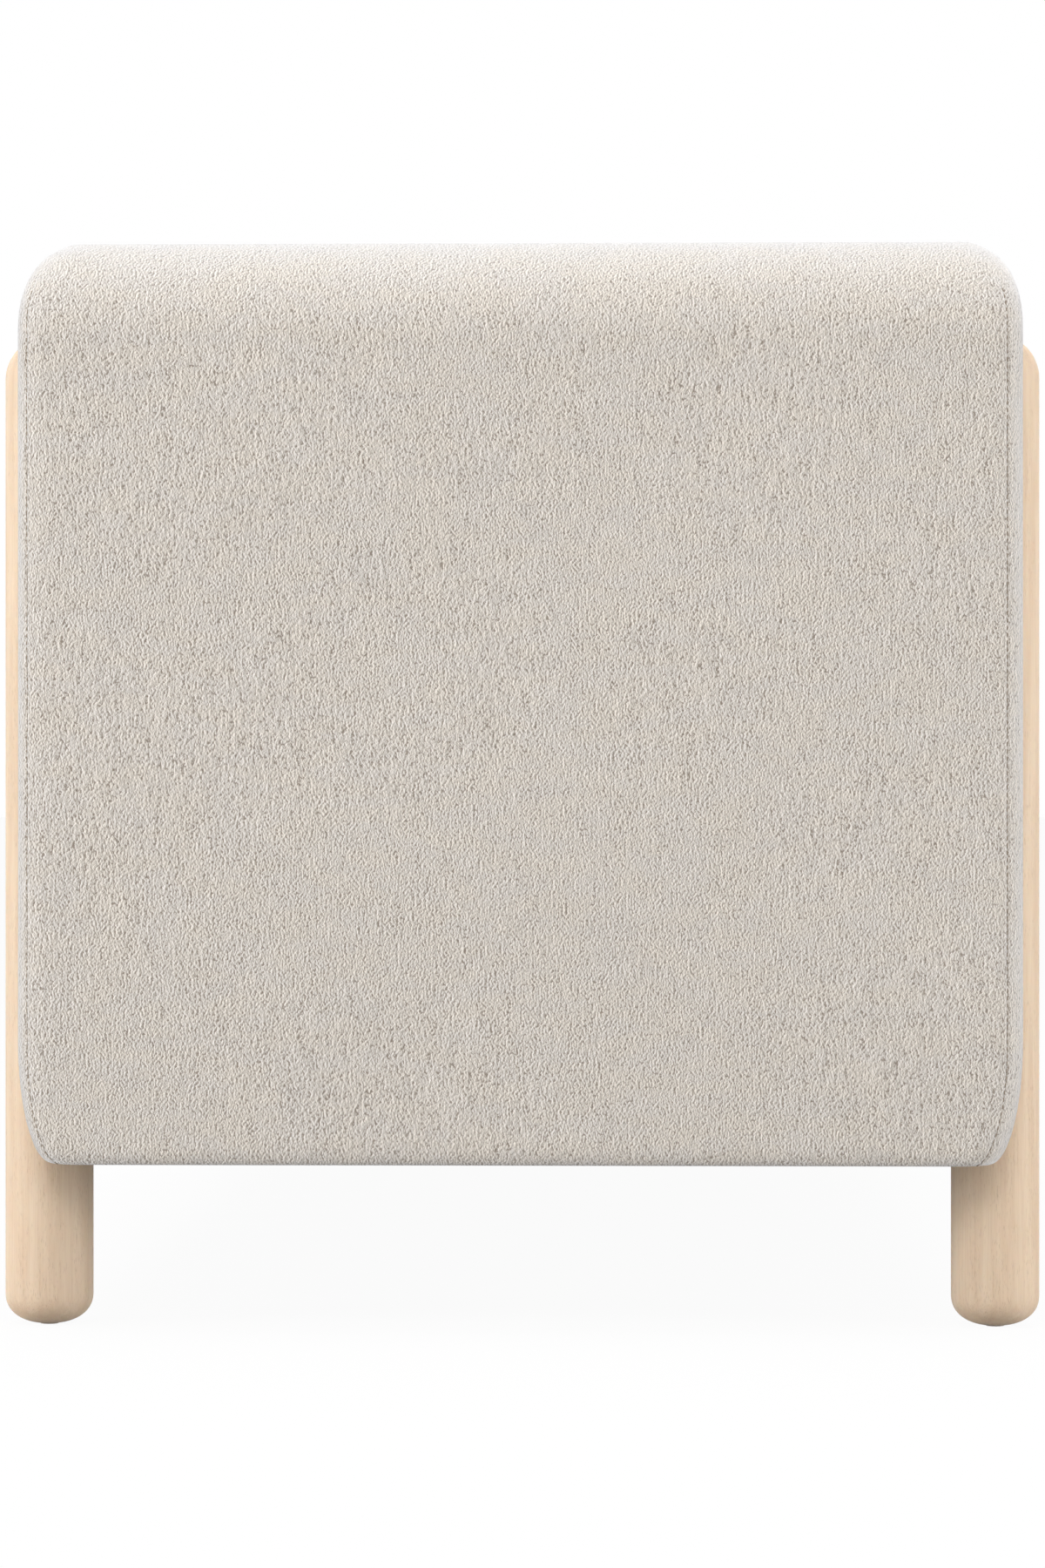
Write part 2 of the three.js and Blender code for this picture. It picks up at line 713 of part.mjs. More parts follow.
// A cushion's cover is a shell that its zip opens along the middle of one long border, +1 or -1 in Y.
function cushionCover(form, zipSide) {
  const border = onSide(zipSide, form.depth / 2 - 2 * cushionCoverThickness, form.depth / 2 + overshoot);
  const level = [(form.edge - zipHeight) / 2, (form.edge + zipHeight) / 2];
  const zip = solid(box([-zipLength / 2, zipLength / 2], border, level));
  return cushion(form, 0).subtract(cushion(form, cushionCoverThickness)).subtract(zip);
}

const cushionCore = (form) => cushion(form, cushionCoverThickness + clearance);

function addSeatCushion(cushions, sideName) {
  const place = [0, (seatCushionFront + seatCushionBack) / 2, cushionBottom];
  const cover = geometryOf(cushionCover(seatCushionForm, 1));
  const core = geometryOf(cushionCore(seatCushionForm));
  addMesh(cushions, `seat_cushion_cover_${sideName}`, cover, boucle).position.set(...place);
  addMesh(cushions, `seat_cushion_core_${sideName}`, core, foam).position.set(...place);
}

// A zip's slider with its pull hanging down. It lies on the outside of the cover, and its neck reaches
// through the zip. Closed, it is at the zip's end beside the arm.
function addZipSlider(cushions, sideName, side) {
  const plate = solid(box(
    [-sliderLength / 2, sliderLength / 2],
    [clearance, clearance + sliderThickness],
    [-sliderHeight / 2, sliderHeight / 2],
  ));
  const neck = solid(box(
    [-sliderNeckLength / 2, sliderNeckLength / 2],
    [clearance - cushionCoverThickness, clearance + sliderThickness / 2],
    [-sliderNeckHeight / 2, sliderNeckHeight / 2],
  ));
  const pull = solid(box(
    [-pullWidth / 2, pullWidth / 2],
    [sliderThickness, sliderThickness + pullThickness],
    [-pullLength, sliderHeight / 4],
  ));
  const shape = plate.add(neck).add(pull);
  const slider = addMesh(cushions, `seat_zip_slider_${sideName}`, geometryOf(shape), steel);
  const closed = zipLength / 2 - zipEndStop - sliderNeckLength / 2;
  slider.position.set(side * closed, seatCushionBack, cushionBottom + seatCushionEdge / 2);
}

// A back cushion stands on the seat cushion, against the back, with its crowned face to the front and
// its zip underneath.
function addBackCushion(cushions, sideName) {
  const bottom = seatTopUnderBackCushion() + clearance;
  const cover = geometryOf(cushionCover(backCushionForm, -1));
  const core = geometryOf(cushionCore(backCushionForm));
  for (const [name, geometry, material] of [["cover", cover, boucle], ["core", core, foam]]) {
    const piece = addMesh(cushions, `back_cushion_${name}_${sideName}`, geometry, material);
    piece.rotation.x = Math.PI / 2;
    piece.position.set(0, backFront - clearance, bottom + backCushionHeight / 2);
  }
}

for (const [sideName, side] of sides) {
  const cushions = addGroup(sofa, side * cushionCentre, 0, 0);
  addSeatCushion(cushions, sideName);
  addZipSlider(cushions, sideName, side);
  addBackCushion(cushions, sideName);
}

export default sofa;
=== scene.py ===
"""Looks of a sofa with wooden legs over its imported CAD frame. Metres, +Z up, the front faces -Y."""
from itertools import product
from math import asin, cos, pi, radians, sin, sqrt
from types import SimpleNamespace

import bmesh
import bpy
import numpy as np
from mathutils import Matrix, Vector
from mathutils.bvhtree import BVHTree
from mathutils.kdtree import KDTree


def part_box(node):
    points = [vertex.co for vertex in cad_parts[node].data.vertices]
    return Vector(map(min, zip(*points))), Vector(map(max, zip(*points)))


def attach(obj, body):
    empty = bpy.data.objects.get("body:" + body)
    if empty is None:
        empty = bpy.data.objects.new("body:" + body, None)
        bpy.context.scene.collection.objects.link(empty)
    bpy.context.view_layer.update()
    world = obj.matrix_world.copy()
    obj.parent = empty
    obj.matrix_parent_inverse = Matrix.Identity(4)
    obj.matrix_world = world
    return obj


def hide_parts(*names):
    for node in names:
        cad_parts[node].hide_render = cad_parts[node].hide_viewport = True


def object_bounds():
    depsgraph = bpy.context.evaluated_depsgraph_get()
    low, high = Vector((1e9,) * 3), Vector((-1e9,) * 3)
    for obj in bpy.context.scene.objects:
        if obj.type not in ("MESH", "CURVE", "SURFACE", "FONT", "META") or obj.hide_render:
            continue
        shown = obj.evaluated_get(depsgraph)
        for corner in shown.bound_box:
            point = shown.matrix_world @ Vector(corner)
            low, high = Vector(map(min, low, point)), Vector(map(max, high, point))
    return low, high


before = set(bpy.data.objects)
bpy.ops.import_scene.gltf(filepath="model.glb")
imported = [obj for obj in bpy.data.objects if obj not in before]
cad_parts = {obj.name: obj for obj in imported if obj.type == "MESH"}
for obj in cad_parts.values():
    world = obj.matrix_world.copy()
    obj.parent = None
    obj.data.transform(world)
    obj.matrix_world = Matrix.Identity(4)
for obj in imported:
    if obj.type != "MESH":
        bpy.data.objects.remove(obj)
cad_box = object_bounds()
scene = bpy.context.scene
scene.view_settings.view_transform = "Standard"
MM = 0.001
SIDES = (("left", -1), ("right", 1))


# ---- Camera ----

# It looks level at the middle of the sofa's right end, a little from behind.
PICTURE_HEIGHT = 1.2132  # metres that the picture spans at the posts
CAMERA_DISTANCE = 4
CAMERA_YAW = radians(1.5)
CAMERA_SHIFT = 1 * MM  # towards the sofa's back

post_low, post_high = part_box("front_post_right")
aim = Vector(((post_low.x + post_high.x) / 2, CAMERA_SHIFT, cad_box[1].z / 2))
towards = Vector((cos(CAMERA_YAW), sin(CAMERA_YAW), 0))
camera = bpy.data.objects.new("camera", bpy.data.cameras.new("camera"))
camera.data.sensor_width = 36
camera.data.lens = camera.data.sensor_width * CAMERA_DISTANCE / PICTURE_HEIGHT
camera.location = aim + CAMERA_DISTANCE * towards
camera.rotation_euler = (-towards).to_track_quat("-Z", "Y").to_euler()
scene.collection.objects.link(camera)
scene.camera = camera


# ---- Materials ----

def node(tree, kind, inputs=None, **settings):
    """A shader node. Each input is a socket to link or a value."""
    made = tree.nodes.new("ShaderNode" + kind)
    for key, value in settings.items():
        setattr(made, key, value)
    for key, value in (inputs or {}).items():
        if isinstance(value, bpy.types.NodeSocket):
            tree.links.new(value, made.inputs[key])
        else:
            made.inputs[key].default_value = value
    return made


def math_node(tree, operation, first, second=0):
    return node(tree, "Math", {0: first, 1: second}, operation=operation).outputs[0]


def vector_math(tree, operation, first, second=(0, 0, 0)):
    return node(tree, "VectorMath", {0: first, 1: second}, operation=operation).outputs[0]


def scaled(tree, vector, factors):
    return vector_math(tree, "MULTIPLY", vector, factors)


def noise(tree, vector, scale, detail=2, roughness=0.5, output="Fac"):
    inputs = {"Vector": vector, "Scale": scale, "Detail": detail, "Roughness": roughness}
    return node(tree, "TexNoise", inputs).outputs[output]


def ramp(tree, value, low, high, to_low=0, to_high=1):
    """A smooth step from one value to another."""
    inputs = {"Value": value, "From Min": low, "From Max": high, "To Min": to_low, "To Max": to_high}
    return node(tree, "MapRange", inputs, interpolation_type="SMOOTHSTEP").outputs[0]


def mixed(tree, factor, first, second, blend_type="MIX"):
    made = node(tree, "Mix", {0: factor, 6: first, 7: second}, data_type="RGBA", blend_type=blend_type)
    return made.outputs[2]


def colour(red, green, blue):
    """An sRGB colour of 0 to 255 as linear RGBA."""
    def linear(value):
        value /= 255
        return value / 12.92 if value <= 0.04045 else ((value + 0.055) / 1.055) ** 2.4
    return (linear(red), linear(green), linear(blue), 1)


def new_material(name, **finish):
    """A material with its node tree, its shader and the place in the object's own frame."""
    material = bpy.data.materials.new(name)
    material.use_nodes = True
    tree = material.node_tree
    shader = tree.nodes["Principled BSDF"]
    for key, value in finish.items():
        shader.inputs[key.replace("_", " ")].default_value = value
    place = node(tree, "TexCoord").outputs["Object"]
    return material, tree, shader, place


def wire(tree, shader, base, height, distance, strength):
    """Gives a shader its colour and its relief."""
    tree.links.new(base, shader.inputs["Base Color"])
    bump = node(tree, "Bump", {"Height": height, "Distance": distance, "Strength": strength})
    tree.links.new(bump.outputs[0], shader.inputs["Normal"])


def beside(tree, place, distance):
    """The point a short, level way along the surface."""
    normal = node(tree, "NewGeometry").outputs["Normal"]
    across = vector_math(tree, "CROSS_PRODUCT", normal, (0, 0, 1))
    level = vector_math(tree, "NORMALIZE", across)
    return vector_math(tree, "ADD", place, scaled(tree, level, (distance,) * 3))


NUB_SCALE = 560
PAINTED_SIDE_LIGHT_REACH = 0.4 * MM  # how far beside a point the nubs' slope is measured for their painted highlight and painted shade
YARN_WANDER = 0.6 * MM


def boucle_material():
    """Looped yarn: small nubs with a painted highlight on one flank and painted shade on the other, painted
    brown shade in the clefts, and a sheen for the pale rims.
    """
    material, tree, shader, place = new_material(
        "boucle_fabric",
        Roughness=0.95,
        Specular_IOR_Level=0.1,
        Sheen_Weight=1,
        Sheen_Roughness=0.55,
        Sheen_Tint=(0.93, 0.955, 1, 1),
    )
    wander = noise(tree, place, 330, output="Color")
    centred = vector_math(tree, "SUBTRACT", wander, (0.5, 0.5, 0.5))
    bent = vector_math(tree, "ADD", place, scaled(tree, centred, (YARN_WANDER,) * 3))
    slim = scaled(tree, bent, (1, 1, 0.85))
    nubs = noise(tree, slim, NUB_SCALE, 1)
    # The nubs one step to the side: the difference paints a highlight on one flank of each nub and shade on
    # the other.
    next_nubs = noise(tree, beside(tree, slim, PAINTED_SIDE_LIGHT_REACH), NUB_SCALE, 1)
    painted_side_light = ramp(tree, math_node(tree, "SUBTRACT", nubs, next_nubs), -0.18, 0.18)
    patches = noise(tree, scaled(tree, place, (0.35, 0.35, 1)), 60, 2, 0.6)
    tint = mixed(tree, ramp(tree, patches, 0.35, 0.65), colour(238, 232, 227), colour(241, 233, 224))
    # The dark colour is painted shade on each nub's shaded flank, and the pale tint is the yarn's own
    # colour.
    tone = mixed(tree, painted_side_light, colour(148, 138, 124), tint)
    # Painted brown shade in the clefts between the nubs, deepest along the rows.
    rows = noise(tree, scaled(tree, bent, (1, 1, 0.15)), 350, 1)
    depth = math_node(tree, "ADD", nubs, math_node(tree, "MULTIPLY", rows, 0.3))
    painted_cleft_shade = ramp(tree, depth, 0.4, 0.6, 0.75, 0)
    yarn = mixed(tree, painted_cleft_shade, tone, colour(119, 104, 88))
    grain = ramp(tree, noise(tree, place, 1700, 1), 0.3, 0.7, 0.92, 1.08)
    upright = noise(tree, scaled(tree, bent, (1, 1, 0.1)), 600, 1)
    streaks = ramp(tree, upright, 0.3, 0.7, 0.93, 1.07)
    base = mixed(tree, 1, mixed(tree, 1, yarn, grain, "MULTIPLY"), streaks, "MULTIPLY")
    wire(tree, shader, base, nubs, 0.0016, 0.7)
    return material


def beech_material():
    """Whitewashed beech: fine upright grain with short pores."""
    material, tree, shader, place = new_material(
        "beech_wood",
        Roughness=0.6,
        Specular_IOR_Level=0.25,
        Subsurface_Weight=0.3,
        Subsurface_Radius=(1, 0.45, 0.2),
        Subsurface_Scale=0.012,
    )
    broad = noise(tree, scaled(tree, place, (1, 1, 0.05)), 110, 3, 0.6)
    fine = noise(tree, scaled(tree, place, (1, 1, 0.03)), 900, 2)
    strokes = noise(tree, scaled(tree, place, (1, 1, 0.09)), 1900, 1)
    sparse = noise(tree, scaled(tree, place, (1, 1, 0.3)), 90, 2)
    pores = math_node(tree, "MULTIPLY", ramp(tree, strokes, 0.58, 0.7), ramp(tree, sparse, 0.35, 0.6))
    ground = mixed(tree, ramp(tree, broad, 0.3, 0.7), colour(225, 204, 179), colour(216, 192, 166))
    grained = mixed(tree, ramp(tree, fine, 0.4, 0.75, 0, 0.3), ground, colour(204, 174, 146))
    base = mixed(tree, math_node(tree, "MULTIPLY", pores, 0.35), grained, colour(158, 124, 96))
    wire(tree, shader, base, math_node(tree, "SUBTRACT", fine, pores), 0.0002, 0.35)
    return material


def pine_material():
    """Sawn frame wood: wide pale and tan bands along the grain."""
    material, tree, shader, place = new_material("frame_pine_wood", Roughness=0.7, Specular_IOR_Level=0.25)
    bands = noise(tree, scaled(tree, place, (0.12, 1, 1)), 60, 3, 0.6)
    fine = noise(tree, scaled(tree, place, (0.05, 1, 1)), 700, 2)
    ground = mixed(tree, ramp(tree, bands, 0.35, 0.65), colour(226, 200, 154), colour(205, 168, 116))
    base = mixed(tree, ramp(tree, fine, 0.45, 0.8, 0, 0.4), ground, colour(178, 138, 90))
    wire(tree, shader, base, fine, 0.0003, 0.4)
    return material


def foam_material():
    """Open-cell foam: cream, with fine pores."""
    material, tree, shader, place = new_material("cushion_foam", Roughness=0.95, Specular_IOR_Level=0.1)
    cells = node(tree, "TexVoronoi", {"Vector": place, "Scale": 700}).outputs["Distance"]
    soft = noise(tree, place, 30, 3)
    tone = mixed(tree, soft, colour(243, 236, 214), colour(233, 224, 196))
    base = mixed(tree, ramp(tree, cells, 0, 0.3, 0.45, 0), tone, colour(196, 184, 152))
    wire(tree, shader, base, cells, 0.0006, 0.5)
    return material


def woven_material(name, first, second, pitch, along=(0, 1)):
    """A plain weave: two sets of threads that cross, over and under."""
    material, tree, shader, place = new_material(name, Roughness=0.85, Specular_IOR_Level=0.2)
    split = node(tree, "SeparateXYZ", {0: place}).outputs
    turns = [math_node(tree, "MULTIPLY", split[axis], pi / pitch) for axis in along]
    over = math_node(tree, "MULTIPLY", *(math_node(tree, "SINE", turn) for turn in turns))
    fuzz = noise(tree, place, 1.2 / pitch, 2)
    tone = mixed(tree, ramp(tree, over, -0.4, 0.4), first, second)
    base = mixed(tree, 1, tone, ramp(tree, fuzz, 0.2, 0.8, 0.8, 1.1), "MULTIPLY")
    wire(tree, shader, base, math_node(tree, "ABSOLUTE", over), pitch * 0.4, 0.6)
    return material


def steel_material():
    """Zinc-plated steel with faint cloudy wear."""
    material, tree, shader, place = new_material("zinc_steel", Metallic=1, Roughness=0.38)
    cloud = noise(tree, place, 260, 3)
    wire(tree, shader, mixed(tree, cloud, colour(206, 208, 210), colour(178, 181, 186)), cloud, 0.0002, 0.2)
    tree.links.new(ramp(tree, cloud, 0.3, 0.7, 0.3, 0.46), shader.inputs["Roughness"])
    return material


def nylon_material():
    """Moulded nylon with a fine grained surface."""
    material, tree, shader, place = new_material("glide_nylon", Roughness=0.55)
    grain = noise(tree, place, 1500, 2)
    wire(tree, shader, mixed(tree, grain, colour(222, 212, 196), colour(212, 201, 184)), grain, 0.0002, 0.3)
    return material


BOUCLE = boucle_material()
THREAD = woven_material("seam_thread", colour(162, 148, 131), colour(138, 125, 109), 0.5 * MM, (1, 2))
TAPE = woven_material("zip_tape", colour(190, 180, 164), colour(164, 153, 137), 0.7 * MM, (0, 2))
BEECH = beech_material()
PINE = pine_material()
FOAM = foam_material()
WEBBING = woven_material("elastic_webbing", colour(150, 138, 122), colour(120, 108, 94), 1.6 * MM)
CAMBRIC = woven_material("cambric_cloth", colour(46, 46, 48), colour(30, 30, 32), 0.9 * MM)
STEEL = steel_material()
NYLON = nylon_material()
CAD_FINISHES = dict(
    frame_pine=PINE, foam=FOAM, webbing=WEBBING, cambric=CAMBRIC,
    steel=STEEL, glide_nylon=NYLON, boucle=BOUCLE, beech=BEECH,
)


# ---- Meshes ----

WAVES = 12
WAVES_REACH = 5  # about twice the usual size of the sum of so many sines


def mesh_object(name, points, faces, material):
    """A smooth-shaded mesh of one material."""
    mesh = bpy.data.meshes.new(name)
    mesh.from_pydata([tuple(p) for p in points], [], faces)
    mesh.update()
    for polygon in mesh.polygons:
        polygon.use_smooth = True
    made = bpy.data.objects.new(name, mesh)
    scene.collection.objects.link(made)
    mesh.materials.append(material)
    return made


def positions(made):
    found = np.empty(len(made.data.vertices) * 3)
    made.data.vertices.foreach_get("co", found)
    return found.reshape(-1, 3)


def set_positions(made, points):
    made.data.vertices.foreach_set("co", np.asarray(points, float).ravel())
    made.data.update()


def vertex_normals(made):
    return np.array([vertex.normal for vertex in made.data.vertices])


def outward(made):
    """Turns all faces of a closed mesh outwards."""
    edit = bmesh.new()
    edit.from_mesh(made.data)
    bmesh.ops.recalc_face_normals(edit, faces=edit.faces)
    edit.to_mesh(made.data)
    edit.free()


def closed_mesh(name, points, faces, material):
    made = mesh_object(name, points, faces, material)
    outward(made)
    return made


def applied(made):
    """Bakes the modifiers into the mesh."""
    bpy.context.view_layer.update()
    evaluated = made.evaluated_get(bpy.context.evaluated_depsgraph_get())
    mesh = bpy.data.meshes.new_from_object(evaluated)
    made.modifiers.clear()
    made.data = mesh


def tube_faces(count, rings, first=0):
    """The quads between rings of count points each. first is the first point's index."""
    faces = []
    for ring in range(rings - 1):
        start = first + ring * count
        for i in range(count):
            a, b = start + i, start + (i + 1) % count
            faces.append((a, b, b + count, a + count))
    return faces


def skin(name, stations, material):
    """A closed sheet. Each station along it is its outer points and as many inner ones."""
    points = [p for outer, inner in stations for p in (*outer, *inner[::-1])]
    side = len(stations[0][0])
    count = 2 * side
    faces = tube_faces(count, len(stations))
    for first, flip in ((0, True), (len(points) - count, False)):
        last = first + count - 1
        for i in range(side - 1):
            end = (first + i, first + i + 1, last - 1 - i, last - i)
            faces.append(end[::-1] if flip else end)
    return closed_mesh(name, points, faces, material)


def lathe(name, profile, sides, material):
    """A turned body about the Z axis. The profile's first and last points lie on the axis."""
    points = [(0, 0, profile[0][1])]
    for radius, height in profile[1:-1]:
        for i in range(sides):
            angle = 2 * pi * i / sides
            points.append((radius * cos(angle), radius * sin(angle), height))
    points.append((0, 0, profile[-1][1]))
    rings = len(profile) - 2
    last = 1 + (rings - 1) * sides
    faces = [(0, 1 + (i + 1) % sides, 1 + i) for i in range(sides)]
    faces += tube_faces(sides, rings, 1)
    faces += [(last + i, last + (i + 1) % sides, len(points) - 1) for i in range(sides)]
    return mesh_object(name, points, faces, material)


def waver(points, length, seed):
    """A smooth random value of about -1 to 1 at each point, which changes over about that length."""
    rng = np.random.default_rng(seed)
    total = np.zeros(len(points))
    for _ in range(WAVES):
        direction = rng.normal(size=3)
        direction *= rng.uniform(0.6, 1.6) * 2 * pi / length / np.linalg.norm(direction)
        total += np.sin(points @ direction + rng.uniform(0, 2 * pi))
    return total / WAVES_REACH


# ---- Posts ----

POST_RADIUS = (post_high.x - post_low.x) / 2
FOOT_DOME = 24 * MM
FOOT_FULLNESS = 2.3  # 2 is an ellipse, more is nearer to a square
FOOT_LOW = 0.3 * MM  # how far the glide holds the dome off the floor
GLIDE_SEAT = (7.3 * MM, 3.3 * MM)  # radius and top of the hole that the glide sits in


def post_profile(offset, steps):
    """A post's outline. Without an offset it has the hole for its glide."""
    low, high = FOOT_LOW - offset, post_high.z + offset
    radius = POST_RADIUS + offset
    seat, seat_top = GLIDE_SEAT
    start = 0 if offset else asin(seat / radius)
    profile = [(0, low)] if offset else [(0, seat_top), (seat, seat_top)]
    for i in range(1 if offset else 0, steps + 1):
        angle = start + i * (pi / 2 - start) / steps
        full = (sin(angle) ** FOOT_FULLNESS + cos(angle) ** FOOT_FULLNESS) ** (1 / FOOT_FULLNESS)
        profile.append((radius * sin(angle) / full, low + FOOT_DOME * (1 - cos(angle) / full)))
    for i in range(steps):
        angle = i * pi / 2 / steps
        profile.append((radius * cos(angle), high - radius * (1 - sin(angle))))
    profile.append((0, high))
    return profile


def post_foot(end_name, side_name):
    low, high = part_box(f"{end_name}_post_{side_name}")
    return ((low.x + high.x) / 2, (low.y + high.y) / 2, 0)


def add_posts():
    for side_name, _ in SIDES:
        for end_name in ("front", "rear"):
            post = lathe(f"turned_post_{end_name}_{side_name}", post_profile(0, steps=16), 96, BEECH)
            post.location = post_foot(end_name, side_name)
            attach(post, "sofa_frame")
            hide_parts(f"{end_name}_post_{side_name}")
            post.data.set_sharp_from_angle(angle=radians(50))


# ---- Upholstered slabs ----

RIDGE = 1.5 * MM  # half the thickness left at the crest
HEM_RECESS = 1.5 * MM
HEM_FOLD = (1 * MM, 0.3 * MM)  # how far the hem's inner edge is folded out and raised
HEM_FLAT = 6 * MM  # width of the hem's flat underside
HEM_RINGS = 3
SEAM_RADIUS = 14 * MM  # a tighter corner has a shallower seam
SEAM_RIPPLE = 1.3 * MM
SEAM_FADE = (50 * MM, 25 * MM)  # where a seam starts to fade under the crest, and over what height
SEAM_SHAPE = (0.9 * MM, 0.2, 5 * MM, 4 * MM)  # crease width, then the swell's share, distance and width


def drawn_in(corner, height):
    """How far a curve of (run, rise, power) is drawn in at a height above its start."""
    run, rise, power = corner
    share = np.clip(height / rise, 0, 1)
    return run * (1 - (1 - share ** power) ** (1 / power))


def crease(stray, shape):
    """How deep a seam draws the fabric in at some distance from it: 1 at the seam, below 0 on its swell."""
    width, swell, swell_place, swell_width = shape
    return np.exp(-((stray / width) ** 2)) - swell * np.exp(-(((stray - swell_place) / swell_width) ** 2))


def slab_levels(form):
    """Levels from the hem to the crest, close together where the surface turns."""
    bottom, roll = form.bottom, form.thickness / 2
    hem_rise = form.hem_round[1]
    roll_start = form.top - roll
    levels = [bottom + hem_rise * (1 - cos(a)) for a in np.linspace(0, pi / 2, 9)]
    levels += list(np.arange(bottom + hem_rise, roll_start, form.row)[1:-1])
    levels += [roll_start + roll * sin(a) for a in np.linspace(0, pi / 2, 27)]
    levels += form.close_levels
    kept = []
    for level in sorted(levels):
        if not kept or level - kept[-1] > 0.01 * MM:
            kept.append(level)
    return kept


def corner_angles(seam):
    """Angles round a corner from a slab's face to its end, close together at its seam."""
    near = radians(11)
    at_seam = [seam + radians(a) for a in (-7, -4, -2, 0, 2, 4, 7)]
    return [*np.linspace(0, seam - near, 4), *at_seam, *np.linspace(seam + near, pi / 2, 6)]


def seam_depth(form, z, radius):
    """How deep a seam is sewn in at a level: it ripples a little and fades under the crest."""
    fade_start, fade_length = SEAM_FADE
    depth = form.seam_depth * min(1, radius / SEAM_RADIUS) * (0.8 + 0.2 * sin(z / SEAM_RIPPLE))
    return depth * (1 - 0.8 * min(max((z - form.top + fade_start) / fade_length, 0), 1))


def sewn_corner(end, half, radius, seam, depth):
    """A corner of a slab's outline, from its face to its end, with its seam sewn in."""
    corner = []
    for angle in corner_angles(seam):
        reach = radius - depth * crease(abs(radius * (angle - seam)), SEAM_SHAPE)
        corner.append((end - radius + reach * sin(angle), half - radius + reach * cos(angle)))
    return corner


def slab_ring(form, z, inset=0.0):
    """A slab's outline at a level as (along, across) points, with the seams sewn in."""
    roll_start = form.top - form.thickness / 2
    over = max(z - roll_start, 0)
    half = max(sqrt(max((form.thickness / 2) ** 2 - over ** 2, 0)), RIDGE)
    half -= drawn_in(form.hem_round, form.bottom + form.hem_round[1] - z) + inset
    end = form.length / 2 - inset
    end -= drawn_in(form.top_corner, z - (form.top - form.top_corner[1]))
    end -= drawn_in(form.bottom_corner, form.bottom + form.bottom_corner[1] - z)
    radius = min(form.corner_radius, 0.9 * half)
    depth = seam_depth(form, z, radius)
    ring = []
    for turn, seam in zip((1, -1), form.seams):
        corner = sewn_corner(end, half, radius, seam, depth)
        ring += [(turn * u, turn * half) for u in (end - radius) * form.side_shares[:-1]]
        ring += [(turn * u, turn * v) for u, v in corner]
        ring += [(turn * end, turn * v) for v in (half - radius) * form.end_shares]
        ring += [(turn * u, -turn * v) for u, v in reversed(corner[1:])]
    return ring


def capped(count, side, faces, first, flip):
    """Closes a ring of that many points: quads between its two long sides, and one face at each end."""
    half = count // 2
    near = [first + i for i in range(side)]
    far = [first + half + side - 1 - i for i in range(side)]
    strips = [(near[i], near[i + 1], far[i + 1], far[i]) for i in range(side - 1)]
    strips.append(tuple(range(near[-1], far[-1] + 1)))
    strips.append(tuple([*range(far[0], first + count), near[0]]))
    faces += [tuple(reversed(f)) if flip else f for f in strips]


def slab(name, form, place, material):
    """An upholstered slab. place turns its (along, across, height) points into positions."""
    bottom, width = form.bottom, form.hem_width
    fold, lift = HEM_FOLD
    hem = [(width, HEM_RECESS), (width - fold, lift), (HEM_FLAT, 0)]
    rings = [[(u, v, bottom + rise) for u, v in slab_ring(form, bottom, inset)] for inset, rise in hem]
    rings += [[(u, v, z) for u, v in slab_ring(form, z)] for z in slab_levels(form)]
    count, side = len(rings[0]), len(form.side_shares)
    points = np.array([p for ring in rings for p in ring])
    faces = tube_faces(count, len(rings))
    capped(count, side, faces, 0, True)
    capped(count, side, faces, (len(rings) - 1) * count, False)
    return closed_mesh(name, place(points), faces, material)


def seam_columns(form, count):
    """Where a ring of that many points holds its four seams."""
    half, side = count // 2, len(form.side_shares) - 1
    seam = len(corner_angles(form.seams[0])) // 2 - 1
    columns = []
    for first in (0, half):
        columns += [first + side + seam, first + half - seam]
    return columns


def along_line(line, pitch):
    """Points at an even pitch on a line of points, each with its direction."""
    steps = np.linalg.norm(np.diff(line, axis=0), axis=1)
    reach = np.concatenate([[0], np.cumsum(steps)])
    places = np.arange(pitch, reach[-1] - pitch, pitch)

    def at(places):
        return np.stack([np.interp(places, reach, line[:, n]) for n in range(3)], axis=1)

    heading = at(places + pitch / 4) - at(places)
    return at(places), heading / np.linalg.norm(heading, axis=1)[:, None]


def spindles(name, spots, headings, length, radius, material):
    """Short pointed rods, one at each spot, in one mesh."""
    sides = 6
    points, faces = [], []
    for spot, heading in zip(spots, headings):
        across = np.cross(heading, (0.3, 0.5, 0.8))
        across /= np.linalg.norm(across)
        up = np.cross(heading, across)
        first = len(points)
        points.append(spot - heading * length / 2)
        for along in (-0.3, 0.3):
            for i in range(sides):
                angle = 2 * pi * i / sides
                rim = across * cos(angle) + up * sin(angle)
                points.append(spot + heading * length * along + rim * radius)
        last = len(points)
        points.append(spot + heading * length / 2)
        for i in range(sides):
            a, b = first + 1 + i, first + 1 + (i + 1) % sides
            faces += [(first, b, a), (a, b, b + sides, a + sides), (a + sides, b + sides, last)]
    return closed_mesh(name, points, faces, material)


def stitches(name, lines, pitch, length, radius):
    """The thread that shows along lines of points."""
    rows = [along_line(line, pitch) for line in lines]
    spots, headings = (np.concatenate(group) for group in zip(*rows))
    return spindles(name, spots, headings, length, radius, THREAD)


STITCH_LIFT = 0.2 * MM
STITCHES_END = 34 * MM  # under the crest


def slab_stitches(name, made, form):
    """The thread in a slab's seams."""
    count = len(slab_ring(form, form.top - form.thickness))
    lifted = positions(made) + STITCH_LIFT * vertex_normals(made)
    lines = [lifted.reshape(-1, count, 3)[HEM_RINGS:, column] for column in seam_columns(form, count)]
    lines = [line[line[:, 2] < form.top - STITCHES_END] for line in lines]
    return stitches(name, lines, pitch=5.5 * MM, length=3.8 * MM, radius=0.55 * MM)


# ---- Arms ----

